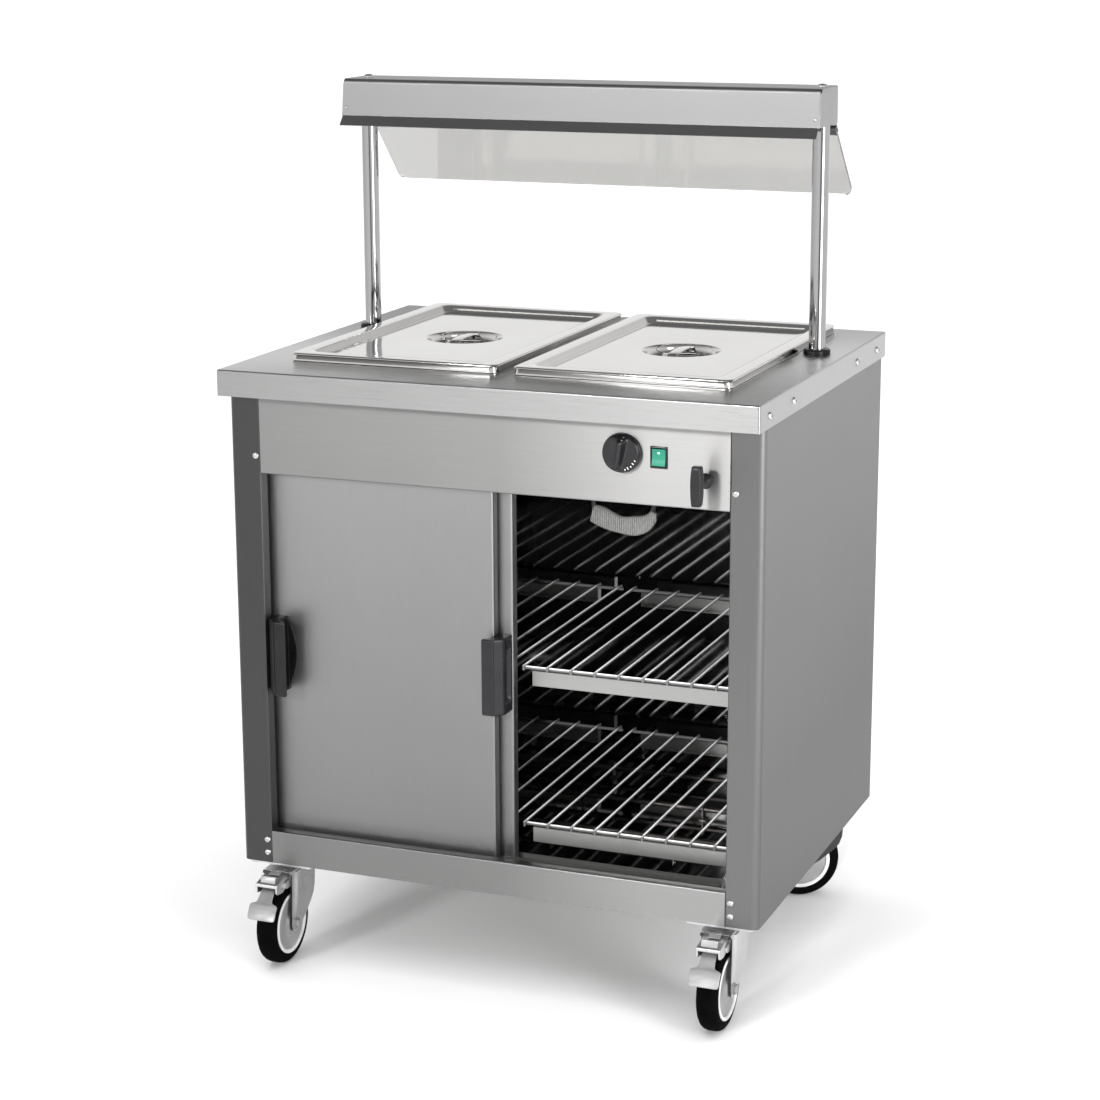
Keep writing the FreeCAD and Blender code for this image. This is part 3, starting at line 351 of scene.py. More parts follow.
# The forks' zinc, with painted shade on their faces towards -Y.
fork_zinc_painted_shade = polished_metal("fork_zinc_painted_shade", (0.60, 0.60, 0.605), 0.36, tint=0.08, front=0.12)
bright_zinc = polished_metal("bright_zinc", (0.36, 0.36, 0.363), 0.52, tint=0.06, metallic=0.7)
lid_steel = polished_metal("lid_steel", (0.61, 0.60, 0.588), 0.08, tint=0.02)
black_plastic = moulded_plastic("black_plastic", (0.008, 0.008, 0.009), 0.30, gloss=0.30)
gloss_plastic = moulded_plastic("gloss_plastic", (0.006, 0.006, 0.007), 0.16, bump=0.02)
print_white = moulded_plastic("print_white", (0.80, 0.80, 0.80), 0.5, bump=0.02)
rim_plastic = moulded_plastic("rim_plastic", (0.66, 0.66, 0.66), 0.42)
disc_plastic = moulded_plastic("disc_plastic", (0.25, 0.25, 0.255), 0.45)
tread = rubber("tread", (0.002, 0.002, 0.002), 0.72)
lens = moulded_plastic("lens", (0.008, 0.145, 0.092), 0.30, bump=0.02)
brass = polished_metal("brass", (0.66, 0.47, 0.20), 0.28, tint=0.10)
sheath = polished_metal("sheath", (0.12, 0.11, 0.105), 0.42, tint=0.3)
braid = woven_sleeve("braid", (0.105, 0.105, 0.102))
wool = fibre("wool", (0.62, 0.58, 0.40), 300.0, 0.8)
pane_glass = clear_glass("pane_glass", (0.54, 0.535, 0.52), 0.02)
lamp_glass = clear_glass("lamp_glass", (0.95, 0.93, 0.90), 0.05)

NODE_MATERIALS = {
    side_steel: ("side_panel_right",),
    left_side_steel_painted_shade: ("side_panel_left",),
    fascia_steel: ("fascia", "plinth"),
    door_steel: ("door_left", "door_right"),
    top_steel: ("worktop", "divider_bar"),
    hood_steel: ("gantry_hood", "glass_rail"),
    plain_steel: ("back_panel", "base_pan", "door_track_top", "door_track_bottom", "shelf_supports",
                  "drain_pipe"),
    pressed_steel: ("lid_left", "lid_right", "pan_left", "pan_right", "well_tank", "gantry_reflector"),
    dark_mirror: ("inner_liner",),
    bright_bar: ("gantry_posts",),
    bright_wire: ("rack_upper_left", "rack_upper_right", "rack_lower_left", "rack_lower_right"),
    zinc: ("fasteners", "castor_plates", "brake_pedal_front_left", "brake_pedal_front_right"),
    fork_zinc_painted_shade: tuple("castor_fork_" + c for c in CORNERS),
    black_plastic: ("post_collars", "door_handle_left", "door_handle_right", "control_knob",
                    "switch_body", "cable_gland", "thermostat", "drain_lever"),
    disc_plastic: tuple("castor_wheel_" + c for c in CORNERS),
    tread: tuple("castor_tyre_" + c for c in CORNERS),
    lens: ("rocker",),
    brass: ("drain_valve",),
    sheath: ("well_element", "base_element"),
    braid: ("well_conduit",),
    wool: ("insulation",),
    pane_glass: ("glass_screen",),
    lamp_glass: ("quartz_lamps",),
}
for material, names in NODE_MATERIALS.items():
    for name in names:
        for slot in nodes[name].material_slots:
            slot.material = material
bare = [name for name in nodes if not any(name in names for names in NODE_MATERIALS.values())]
assert not bare, bare


# ---- mesh helpers -------------------------------------------------------------------------------
MM = 0.001
joints = {joint["name"]: joint for joint in frame["joints"]}


def skin(shape, loops, caps=(True, True), ring_shaped=False):
    """Joins rings of points, each to the next, with quads; caps close the first and the last.
    ring_shaped joins the last ring to the first instead."""
    rings = [[shape.verts.new(point) for point in loop] for loop in loops]
    count = len(rings[0])
    followers = rings[1:] + rings[:1] if ring_shaped else rings[1:]
    for before, after in zip(rings, followers):
        for i in range(count):
            j = (i + 1) % count
            shape.faces.new((before[i], before[j], after[j], after[i]))
    if caps[0] and not ring_shaped:
        shape.faces.new(list(reversed(rings[0])))
    if caps[1] and not ring_shaped:
        shape.faces.new(rings[-1])


def turned_loops(profile, place, steps=72):
    """Rings of (along, radius) points in mm about the X axis of a placing matrix."""
    angles = [2 * math.pi * k / steps for k in range(steps)]
    return [[place @ Vector((along * MM, radius * MM * math.cos(a), radius * MM * math.sin(a)))
             for a in angles] for along, radius in profile]


def rounded_loop(centre, half_x, half_y, radius, z, steps=8):
    """A rectangle with round corners, level, as one ring."""
    ring = []
    for corner in range(4):
        side_x = (1, -1, -1, 1)[corner]
        side_y = (1, 1, -1, -1)[corner]
        for k in range(steps + 1):
            angle = math.pi / 2 * (corner + k / steps)
            ring.append(Vector((centre[0] + side_x * (half_x - radius) + radius * math.cos(angle),
                                centre[1] + side_y * (half_y - radius) + radius * math.sin(angle), z)))
    return ring


def round_loop(centre, radius, z, count):
    """A level circle whose points pair with those of rounded_loop."""
    return [Vector((centre[0] + radius * math.cos(2 * math.pi * (k + 0.5) / count),
                    centre[1] + radius * math.sin(2 * math.pi * (k + 0.5) / count), z))
            for k in range(count)]


def rounded_outline(points, radius, steps=4):
    """A closed outline whose corners are eased by a curve that starts radius before each."""
    corners = [Vector((*point, 0.0)) for point in points]
    ring = []
    for index, corner in enumerate(corners):
        before, after = corners[index - 1], corners[(index + 1) % len(corners)]
        reach = min(radius, (before - corner).length * 0.45, (after - corner).length * 0.45)
        entry = corner + (before - corner).normalized() * reach
        leave = corner + (after - corner).normalized() * reach
        for k in range(steps + 1):
            t = k / steps
            spot = entry * (1 - t) ** 2 + corner * 2 * t * (1 - t) + leave * t ** 2
            ring.append((spot.x, spot.y))
    return ring


def slab(shape, outline, plane, start, end, place=Matrix.Identity(4)):
    """An outline in mm, extruded across the XZ or the YZ plane of a placing matrix."""
    def spot(u, v, w):
        return place @ (Vector((w, u, v) if plane == "YZ" else (u, w, v)) * MM)

    skin(shape, [[spot(u, v, w) for u, v in outline] for w in (start, end)])


def soft_section(half_width, half_thick, corner, steps=3):
    """A rounded rectangle in two dimensions, for sweeping."""
    return [(p.x, p.y) for p in rounded_loop((0, 0), half_width, half_thick, corner, 0.0, steps)]


def swept_loops(path, sections, side=Vector((1, 0, 0))):
    """One section of (across, out) points for each point of a path that lies square to side."""
    loops = []
    for k, (point, section) in enumerate(zip(path, sections)):
        ahead = (path[min(k + 1, len(path) - 1)] - path[max(k - 1, 0)]).normalized()
        out = side.cross(ahead).normalized()
        loops.append([point + side * across + out * lift for across, lift in section])
    return loops


def smooth_path(points, steps=6):
    """A Catmull-Rom curve through the points, which may carry any number of coordinates."""
    points = [Vector(point) for point in points]
    ends = [2 * points[0] - points[1]] + points + [2 * points[-1] - points[-2]]
    path = []
    for a, b, c, d in zip(ends, ends[1:], ends[2:], ends[3:]):
        for k in range(steps):
            t = k / steps
            path.append(0.5 * ((2 * b) + (c - a) * t + (2 * a - 5 * b + 4 * c - d) * t * t
                               + (3 * b - a - 3 * c + d) * t ** 3))
    return path + [points[-1]]


def piece(name, shape, material, body, replaces=(), bevel=0.0, sharp=38.0, wall=0.0):
    """Turns a finished bmesh into a shown piece that rides on a body."""
    bmesh.ops.recalc_face_normals(shape, faces=shape.faces)
    mesh = bpy.data.meshes.new(name)
    shape.to_mesh(mesh)
    shape.free()
    mesh.materials.append(material)
    mesh.polygons.foreach_set("use_smooth", [True] * len(mesh.polygons))
    mesh.set_sharp_from_angle(angle=math.radians(sharp))
    made = bpy.data.objects.new(name, mesh)
    bpy.context.scene.collection.objects.link(made)
    if wall:
        sheet_wall = made.modifiers.new("wall", "SOLIDIFY")
        sheet_wall.thickness = wall
        sheet_wall.offset = -1.0
    if bevel:
        edges = made.modifiers.new("edges", "BEVEL")
        edges.width = bevel
        edges.segments = 3
        edges.limit_method = "ANGLE"
        edges.angle_limit = math.radians(sharp)
        edges.harden_normals = True
    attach(made, body)
    if replaces:
        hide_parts(*replaces)
    return made


# ---- lids ---------------------------------------------------------------------------------------
# The pressing, from the turned-down lip to the sunken panel: (inset, height over the worktop), mm.
LID_PRESSING = ((0.3, 1.8), (0.4, 2.8), (1.9, 9.4), (1.5, 9.9), (0.4, 10.3), (0.0, 11.2), (0.5, 12.4),
                (1.8, 13.2), (4.0, 13.4), (14.0, 13.4), (20.5, 13.2), (23.0, 12.6), (25.0, 11.2),
                (28.5, 7.2), (30.6, 5.0), (32.2, 4.2), (33.8, 4.2), (35.2, 4.8), (42.0, 4.9))
# The dish, from the panel to its bottom: (radius, height), mm.
LID_DISH = ((62.0, 4.9), (60.0, 4.8), (58.4, 4.2), (57.2, 2.6), (56.0, -1.5), (54.8, -5.4),
            (52.5, -8.2), (49.0, -9.6), (43.0, -10.2), (20.0, -10.2), (3.0, -10.2))
# The strap, from foot to foot: (along, height), mm.
STRAP_ARCH = ((-50.0, -4.6), (-47.0, -4.4), (-43.5, -1.0), (-39.0, 3.0), (-32.0, 4.9),
              (-16.0, 5.9), (0.0, 6.2), (16.0, 5.9), (32.0, 4.9), (39.0, 3.0), (43.5, -1.0),
              (47.0, -4.4), (50.0, -4.6))
STRAP_HALF_WIDTH, STRAP_HALF_THICK, STRAP_EDGE = 8.0, 1.1, 1.0
LID_SHEET = 0.7
# The corner radius of the pressing's rings, from its lip to its panel, mm.
LID_CORNERS = (11, 16)


def make_lid(side):
    node = "lid_" + side
    low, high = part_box(node)
    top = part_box("worktop")[1].z
    centre = ((low.x + high.x) / 2, (low.y + high.y) / 2)
    half_x, half_y = (high.x - low.x) / 2, (high.y - low.y) / 2
    loops = []
    for inset, height in LID_PRESSING:
        radius = LID_CORNERS[0] + (LID_CORNERS[1] - LID_CORNERS[0]) * inset / LID_PRESSING[-1][0]
        loops.append(rounded_loop(centre, half_x - inset * MM, half_y - inset * MM, radius * MM,
                                  top + height * MM))
    for radius, height in LID_DISH:
        loops.append(round_loop(centre, radius * MM, top + height * MM, len(loops[0])))
    shape = bmesh.new()
    skin(shape, loops, caps=(False, True))
    piece("lid_pressing_" + side, shape, lid_steel, node, replaces=[node],
          wall=LID_SHEET * MM, sharp=60.0)
    shape = bmesh.new()
    path = smooth_path([(centre[0], centre[1] + y * MM, top + z * MM) for y, z in STRAP_ARCH], 4)
    section = soft_section(STRAP_HALF_WIDTH * MM, STRAP_HALF_THICK * MM, STRAP_EDGE * MM)
    skin(shape, swept_loops(path, [section] * len(path)))
    piece("lid_strap_" + side, shape, lid_steel, node, sharp=50.0)


# ---- door pulls ---------------------------------------------------------------------------------
def pull_outline(width, proud, scoop, fill):
    """The pull's section in mm: u runs in from the door's edge, v out from its face.
    scoop hollows the outer web, and fill closes the gap behind the grip plate."""
    return [(0, 0), (0, 5), (-scoop, 8), (-scoop, proud - 19), (0, proud - 15), (-1.5, proud - 11.5),
            (-4, proud - 8.5), (-12.6, proud - 1.2), (-13.6, proud - 2.2), (-14.6, proud - 1.4),
            (-15.6, proud), (-width + 1, proud), (-width, proud - 1), (-width, proud - 2.8),
            (-width + 0.8, proud - 3.6), (-16 - 11 * fill, proud - 3.8 - 0.6 * fill),
            (-11.5 - 6.5 * fill, proud - 8 - 6 * fill), (-11.5 - 6 * fill, 5 + 2 * fill),
            (-13 - 5.5 * fill, 3.6), (-19, 3.2), (-19, 0)]


# How the pull's section changes from its end: (height, scoop, fill, inset), mm.
PULL_STATIONS = ((0, 0, 1, 1.4), (1.2, 0, 1, 0.3), (2.5, 0, 1, 0), (5, 0, 0.75, 0), (8, 0, 0.15, 0),
                 (10, 0, 0, 0), (15, 0, 0, 0), (19, 0.5, 0, 0), (24, 1, 0, 0))


def make_pull(side, hand):
    node = "door_handle_" + side
    low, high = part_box(node)
    outer = low.x if hand < 0 else high.x
    width, proud, tall = [length / MM for length in high - low]
    lower = list(PULL_STATIONS)
    upper = [(tall - at, *rest) for at, *rest in reversed(lower)]
    loops = []
    for at, hollow, fill, inset in lower + upper:
        ring = []
        for u, v in pull_outline(width, proud, 6.0 * hollow, fill):
            eased_u = u + inset * (1 if u < -9 else -1)
            eased_v = v if v < 1 else v - inset
            ring.append(Vector((outer + hand * eased_u * MM, high.y - eased_v * MM, low.z + at * MM)))
        loops.append(ring)
    shape = bmesh.new()
    skin(shape, loops)
    cup = [(-18, 4)] + [(-18 - (width - 18.5) * math.sin(math.pi * k / 12), 4 + (tall - 8) * k / 12)
                        for k in range(13)] + [(-18, tall - 4)]
    skin(shape, [[Vector((outer + hand * u * MM, high.y - lift * MM, low.z + z * MM)) for u, z in cup]
                 for lift in (0.0, 1.3)])
    piece("door_pull_" + side, shape, black_plastic, "door_" + side, replaces=[node],
          bevel=0.5 * MM, sharp=32.0)


# ---- controls -----------------------------------------------------------------------------------
def knob_height(u, v, radius):
    """Height of the moulded dial in mm over its plane: a rim, a shallow dish and the grip's fin."""
    r = math.hypot(u, v) / radius
    dish = 10.5 - 1.2 * math.cos(min(r, 1.0) * math.pi)
    rim = max(0.0, (r - 0.9) / 0.1)
    along = max(0.0, 1 - (abs(v) / (radius * 0.86)) ** 6)
    flank = math.exp(-(abs(u) / (3.6 + 1.7 * (v / radius + 1))) ** 2.4)
    shoulder = math.exp(-((u + 5) / 11.0) ** 2) * 0.38
    return dish + 14.5 * along * max(flank, shoulder) - 7.5 * rim ** 2


# The printed marks on the dial: (turn in degrees from 3 o'clock, length in mm).
KNOB_MARKS = ((84, 3.4), (-14, 2.0), (-27, 3.2), (-39, 2.0), (-52, 3.2), (-63, 2.0))


def make_knob():
    pivot = Vector(joints["control_knob_turn"]["pos_m"])
    low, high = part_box("control_knob")
    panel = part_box("fascia")[0].y
    radius = (high.x - low.x) / 2 / MM
    rings, spokes = 30, 96
    circle = [(math.cos(2 * math.pi * k / spokes), math.sin(2 * math.pi * k / spokes))
              for k in range(spokes)]
    skirt = ((radius - 0.6, 0.6), (radius, 1.6), (radius, 3.2))
    loops = [[(r * c, r * s, height) for c, s in circle] for r, height in skirt]
    for ring in range(rings):
        r = radius * 0.988 * (1 - ring / rings)
        loops.append([(r * c, r * s, knob_height(r * c, r * s, radius)) for c, s in circle])
    place = Matrix.Translation((pivot.x, panel, pivot.z)) @ Matrix.Rotation(math.radians(8), 4, "Y")
    shape = bmesh.new()
    skin(shape, [[place @ Vector((u * MM, -h * MM, v * MM)) for u, v, h in loop] for loop in loops])
    piece("knob_dial", shape, gloss_plastic, "control_knob", replaces=["control_knob"],
          sharp=55.0)
    shape = bmesh.new()
    for turn, length in KNOB_MARKS:
        angle = math.radians(turn)
        along = Vector((math.cos(angle), math.sin(angle), 0))
        across = Vector((-along.y, along.x, 0)) * 0.55
        end = along * radius * 0.86
        start = end - along * length
        corners = [start - across, end - across, end + across, start + across]
        skin(shape, [[place @ (Vector((p.x, -knob_height(p.x, p.y, radius) - lift, p.y)) * MM)
                      for p in corners] for lift in (-0.6, 0.35)])
    piece("knob_marks", shape, print_white, "control_knob")


# Half the T handle's grip: (height as a share of half its length, half width, half depth), mm.
GRIP_SECTIONS = ((0.0, 7.8, 8.0), (0.4, 7.6, 7.8), (0.8, 6.9, 7.2), (0.95, 6.3, 6.5), (0.985, 5.6, 5.8),
                 (1.0, 4.6, 4.8))
STEM_PROFILE = ((0.4, 10.5), (1.4, 11.0), (3.0, 10.8), (5.0, 9.0), (9.0, 7.2), (16.0, 6.4), (26.0, 6.0),
                (33.0, 6.6))


def make_drain_lever():
    pivot = Vector(joints["drain_lever_turn"]["pos_m"])
    low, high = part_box("drain_lever")
    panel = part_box("fascia")[0].y
    half_tall = (high.z - low.z) / 2
    middle = (pivot.x, low.y + 8 * MM)
    sections = [(-share, a, b) for share, a, b in reversed(GRIP_SECTIONS[1:])] + list(GRIP_SECTIONS)
    shape = bmesh.new()
    skin(shape, [rounded_loop(middle, a * MM, b * MM, 2.6 * MM, pivot.z + share * half_tall)
                 for share, a, b in sections])
    facing = Matrix.Translation((pivot.x, panel, pivot.z)) @ Matrix.Rotation(-math.pi / 2, 4, "Z")
    skin(shape, turned_loops(STEM_PROFILE, facing, 40))
    piece("drain_grip", shape, black_plastic, "drain_lever", replaces=["drain_lever"],
          bevel=0.4 * MM, sharp=34.0)


# The lens from its lower to its upper edge: (share of half its height, depth from its front), mm.
ROCKER_FACE = ((-1.0, 0.0), (-0.96, -0.2), (-0.5, 1.3), (0.0, 2.6), (0.5, 2.3), (0.96, 1.9),
               (1.0, 2.1))
# The bars of the mark on the lens: (right, up, half width, half height) from its middle, mm.
ROCKER_MARKS = ((-1.1, 6.4, 0.3, 1.3), (1.3, 6.4, 0.3, 1.3), (0.1, 5.3, 0.9, 0.25),
                (0.1, 7.5, 0.9, 0.25))
ROCKER_MARK_DEPTH, ROCKER_MARK_THICK = 1.9, 0.8


def make_switch():
    """A bezel with chamfered sides round the mouth, its case, and the lit rocker with a mark."""
    low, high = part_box("switch_body")
    lens_low, lens_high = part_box("rocker")
    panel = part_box("fascia")[0].y
    middle = ((low.x + high.x) / 2, (low.z + high.z) / 2)
    wide, tall = (high.x - low.x) / 2, (high.z - low.z) / 2
    mouth_wide = lens_high.x - middle[0] + 0.35 * MM
    mouth_tall = tall - 3.1 * MM

    def frame_ring(half_x, half_z, corner, y):
        ring = rounded_loop(middle, half_x, half_z, corner, 0.0, 3)
        return [Vector((p.x, y, p.y)) for p in ring]

    shape = bmesh.new()
    skin(shape, [frame_ring(wide, tall, 1.5 * MM, panel),
                 frame_ring(wide, tall, 1.5 * MM, low.y + 0.8 * MM),
                 frame_ring(wide - 0.9 * MM, tall - 0.9 * MM, 1.2 * MM, low.y),
                 frame_ring(mouth_wide + 0.8 * MM, mouth_tall + 0.8 * MM, 1.0 * MM, low.y),
                 frame_ring(mouth_wide, mouth_tall, 0.6 * MM, low.y + 0.9 * MM),
                 frame_ring(mouth_wide, mouth_tall, 0.6 * MM, panel + 11 * MM)], caps=(False, True))
    piece("switch_bezel", shape, gloss_plastic, "cabinet", replaces=["switch_body"])
    shape = bmesh.new()
    case_wide, case_tall = wide - 1.8 * MM, tall - 1.8 * MM
    skin(shape, [frame_ring(case_wide, case_tall, 0.8 * MM, y)
                 for y in (panel + 11.5 * MM, high.y - 8 * MM)])
    for x in (-6, 6):
        for z in (-8, 8):
            blade = [(middle[0] / MM + x + u, middle[1] / MM + z + v) for u, v in
                     ((-0.4, -3), (0.4, -3), (0.4, 3), (-0.4, 3))]
            slab(shape, blade, "XZ", high.y / MM - 8, high.y / MM)
    piece("switch_case", shape, black_plastic, "cabinet", bevel=0.2 * MM)

    half = (lens_high.z - lens_low.z) / 2
    outline = [(lens_low.y / MM + max(0.0, depth), (middle[1] + share * half) / MM)
               for share, depth in ROCKER_FACE]
    outline += [(lens_high.y / MM, lens_high.z / MM), (lens_high.y / MM, lens_low.z / MM)]
    shape = bmesh.new()
    slab(shape, outline, "YZ", lens_low.x / MM, lens_high.x / MM)
    piece("rocker_lens", shape, lens, "rocker", replaces=["rocker"], bevel=0.35 * MM,
          sharp=25.0)
    shape = bmesh.new()
    mark_y = lens_low.y / MM + ROCKER_MARK_DEPTH
    for x, z, across, up in ROCKER_MARKS:
        u, v = middle[0] / MM + x, middle[1] / MM + z
        bar = [(u - across, v - up), (u + across, v - up), (u + across, v + up), (u - across, v + up)]
        slab(shape, bar, "XZ", mark_y, mark_y + ROCKER_MARK_THICK)
    piece("rocker_marks", shape, print_white, "rocker")


# The sleeve from left to right: (across, along Y, down from its box's top, half thickness), mm.
SLEEVE_MARKS = ((-51, 0, 62, 13.0), (-40, -1, 64.5, 15.0), (-25, -2, 70, 14.2), (-8, -3, 74.5, 12.8),
                (12, -3, 75, 14.4), (27, -2, 71, 13.0), (37, -1, 63, 9.4), (42, 0, 53, 5.4))
SLEEVE_HALF_WIDTH, SLEEVE_EDGE, SLEEVE_RIB = 5.4, 4.6, 0.4
# The wiring that leaves each end upwards: (across, along Y, down from the box's top), mm.
SLEEVE_TAILS = (((-48, 0, 62), (-50, 0, 42), (-46, 0, 20), (-44, 0, 0)),
                ((38, 0, 58), (42, 0, 40), (42, 0, 20), (40, 0, 0)))
TAIL_RADIUS, TAIL_EDGE = 3.4, 3.0


def make_sleeve():
    """The braided sleeve that hangs from the well: it sags, and lies flatter where it bends."""
    low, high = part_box("well_conduit")
    hung_from = Vector(((low.x + high.x) / 2, (low.y + high.y) / 2, high.z))
    side = Vector((0, 1, 0))
    path = []
    sections = []
    for k, (x, y, drop, thick) in enumerate(smooth_path(SLEEVE_MARKS, 9)):
        path.append(hung_from + Vector((x, y, -drop)) * MM)
        rib = SLEEVE_RIB * (k % 2)
        sections.append(soft_section((SLEEVE_HALF_WIDTH - rib) * MM, (thick - rib) * MM,
                                     (SLEEVE_EDGE - rib) * MM, 5))
    shape = bmesh.new()
    skin(shape, swept_loops(path, sections, side))
    piece("wiring_sleeve", shape, braid, "cabinet", replaces=["well_conduit"], sharp=70.0)

    shape = bmesh.new()
    section = soft_section(TAIL_RADIUS * MM, TAIL_RADIUS * MM, TAIL_EDGE * MM, 5)
    for marks in SLEEVE_TAILS:
        path = [hung_from + Vector((x, y, -drop)) * MM for x, y, drop in smooth_path(marks, 5)]
        skin(shape, swept_loops(path, [section] * len(path), side))
    piece("wiring_tails", shape, black_plastic, "cabinet", replaces=["well_conduit"])


# ---- castors ------------------------------------------------------------------------------------
def castor_frame(corner):
    """The castor's own axes on the floor, its trail and its wheel's radius, from its two joints."""
    swivel = Vector(joints["castor_" + corner + "_swivel"]["pos_m"])
    wheel = Vector(joints["wheel_" + corner + "_spin"]["pos_m"])
    axle = Vector(joints["wheel_" + corner + "_spin"]["axis"])
    turn = Matrix.Rotation(math.atan2(axle.y, axle.x), 4, "Z")
    place = Matrix.Translation((swivel.x, swivel.y, 0)) @ turn
    return place, (wheel.xy - swivel.xy).length, wheel.z


# One half of each turned outline: (distance from the wheel's middle plane, radius), mm.
TYRE_SIDE = ((-15.2, 47.1), (-15.8, 48.0), (-15.8, 50.0), (-15.3, 51.2), (-15.3, 53.6), (-14.6, 56.4),
             (-12.6, 59.4), (-9.4, 61.5), (-5.0, 62.4))
RIM_SIDE = ((-12.0, 41.1), (-15.4, 41.1), (-16.4, 41.8), (-16.8, 43.0), (-16.8, 45.4), (-16.2, 46.6),
            (-14.6, 47.0))
DISC_SIDE = ((-17.8, 6.3), (-17.8, 12.6), (-17.0, 14.2), (-14.4, 15.4), (-13.2, 18.0), (-13.2, 25.0),
             (-14.0, 33.0), (-14.6, 38.4), (-14.2, 40.2), (-12.6, 41.0))


def make_wheel(corner):
    place, trail, radius = castor_frame(corner)
    hub = place @ Matrix.Translation((0, -trail, radius))
    for name, half, material, slot, replaced in (
            ("tyre_", TYRE_SIDE, tread, "tread_rubber", ["castor_tyre_" + corner]),
            ("rim_", RIM_SIDE, rim_plastic, "castor_disc", []),
            ("disc_", DISC_SIDE, disc_plastic, "castor_disc", ["castor_wheel_" + corner])):
        outline = list(half) + [(-along, out) for along, out in reversed(half)]
        shape = bmesh.new()
        skin(shape, turned_loops(outline, hub, 96), ring_shaped=True)
        piece(name + corner, shape, material, "wheel_" + corner, replaces=replaced, sharp=45.0)


# The fork's pressed leg, upwards: (height, front edge, back edge), mm.
LEG_LEVELS = ((50.9, -45.5, -38.5), (51.6, -49, -35), (54, -52, -30), (58, -54.2, -22), (64, -55, -12),
              (72, -54.6, -2), (82, -54, 10), (92, -53.4, 18.5), (104, -52.6, 23), (122, -51.6, 24.5),
              (138, -51, 25), (144.5, -51, 25))
LEG_STEPS = 28
LEG_INNER, LEG_SHEET, LEG_RIB = 20.0, 3.0, 3.4
# The top of the fork's crown over the floor, mm.
CROWN = 147.5


def leg_loops(place, sign):
    """A pressed leg with a rib that stands out along its front half."""
    loops = []
    for z, front, back in LEG_LEVELS:
        swell = min(1.0, max(0.0, (z - 70) / 30))
        inner = []
        for k in range(LEG_STEPS + 1):
            share = k / LEG_STEPS
            rib = min(1.0, max(0.0, (share - 0.10) / 0.05), max(0.0, (0.44 - share) / 0.12))
            inner.append((LEG_INNER + LEG_RIB * swell * rib, front + (back - front) * share))
        ring = [(x + LEG_SHEET, y) for x, y in inner] + list(reversed(inner))
        loops.append([place @ Vector((sign * x * MM, y * MM, z * MM)) for x, y in ring])
    return loops


# What shows of the axle outside a leg: (distance from the wheel's middle plane, radius), mm.
WASHER = ((23.0, 5.0), (23.0, 9.2), (24.2, 9.2), (24.6, 8.8), (24.6, 5.0))
STUB = ((24.0, 1.0), (24.0, 4.6), (28.2, 4.6), (29.0, 3.6), (29.0, 1.0))
NUT = ((24.4, 7.6), (28.0, 7.6), (28.6, 6.8))


def make_fork(corner, braked):
    place, trail, radius = castor_frame(corner)
    node = "castor_fork_" + corner
    pin_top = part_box(node)[1].z / MM
    shape = bmesh.new()
    for sign in (-1, 1):
        skin(shape, leg_loops(place, sign))
    roof = rounded_outline([(-23, 141.5), (23, 141.5), (23, CROWN), (-23, CROWN)], 5.0)
    slab(shape, roof, "XZ", -57, 25.5, place)
    upright = place @ Matrix.Rotation(-math.pi / 2, 4, "Y")
    race = ((CROWN - 4.5, 10.0), (CROWN - 4.5, 26.0), (CROWN - 2.0, 29.0), (CROWN + 0.2, 29.6),
            (CROWN + 0.4, 26.0), (CROWN + 1.5, 11.0), (pin_top, 10.5), (pin_top, 2.0),
            (CROWN - 4.5, 2.0))
    skin(shape, turned_loops(race, upright, 56), ring_shaped=True)
    piece("fork_" + corner, shape, fork_zinc_painted_shade, "castor_" + corner, replaces=[node],
          bevel=0.7 * MM, sharp=40.0)

    shape = bmesh.new()
    axle = place @ Matrix.Translation((0, -trail, radius))
    for sign in (-1, 1):
        for profile in (WASHER, STUB):
            skin(shape, turned_loops([(sign * a, r) for a, r in profile], axle, 32), ring_shaped=True)
        skin(shape, turned_loops([(sign * a, r) for a, r in NUT], axle, 6))
    skin(shape, turned_loops(((-23.2, 5.9), (23.2, 5.9)), axle, 32))
    piece("axle_" + corner, shape, bright_zinc, "castor_" + corner, bevel=0.2 * MM,
          sharp=35.0)
    if braked:
        make_brake(corner, place)


# The pedal, from its pivot to its tip: (forward, height, half width), mm.
PEDAL_PATH = ((-60, 130.5, 10.5), (-70, 129.6, 10.5), (-80, 128.2, 10.8), (-88, 123.6, 11.0),
              (-94, 117.4, 11.4), (-98, 112.8, 13.0), (-99.6, 110.8, 18.6), (-100.6, 109.6, 21.6),
              (-102.2, 107.6, 22.5), (-106, 102.0, 22.5), (-109, 95.6, 22.5), (-110.8, 91.4, 22.0),
              (-111.6, 89.6, 20.6), (-111.9, 88.8, 18.0))


# The brake's sheet parts seen from the side: (forward, height) outlines, mm.
CHEEK = ((-46, 144.5), (-80, 138.5), (-91, 136.5), (-91, 123.5), (-74, 121), (-64, 124), (-46, 124))
HOUSING_ROOF = ((-46, 144.6), (-46, 147.2), (-91, 138.2), (-91, 133.0), (-89.2, 133.0), (-89.2, 136.2))
SHOULDER = ((-50, 137), (-66, 135), (-70, 128), (-62, 124), (-50, 124))
TAB = ((-82.0, 138.0), (-86.6, 137.6), (-83.2, 148.6), (-80.8, 148.0))
TAB_FOOT = ((-70, 140.4), (-70, 143.6), (-84, 140.8), (-84, 137.6))
LEAF = ((-52, 147.0), (-52, 148.2), (-66, 145.6), (-66, 144.4))
PEDAL_PIN = ((-20.4, 2.4), (-20.4, 4.0), (20.4, 4.0), (20.4, 2.4))


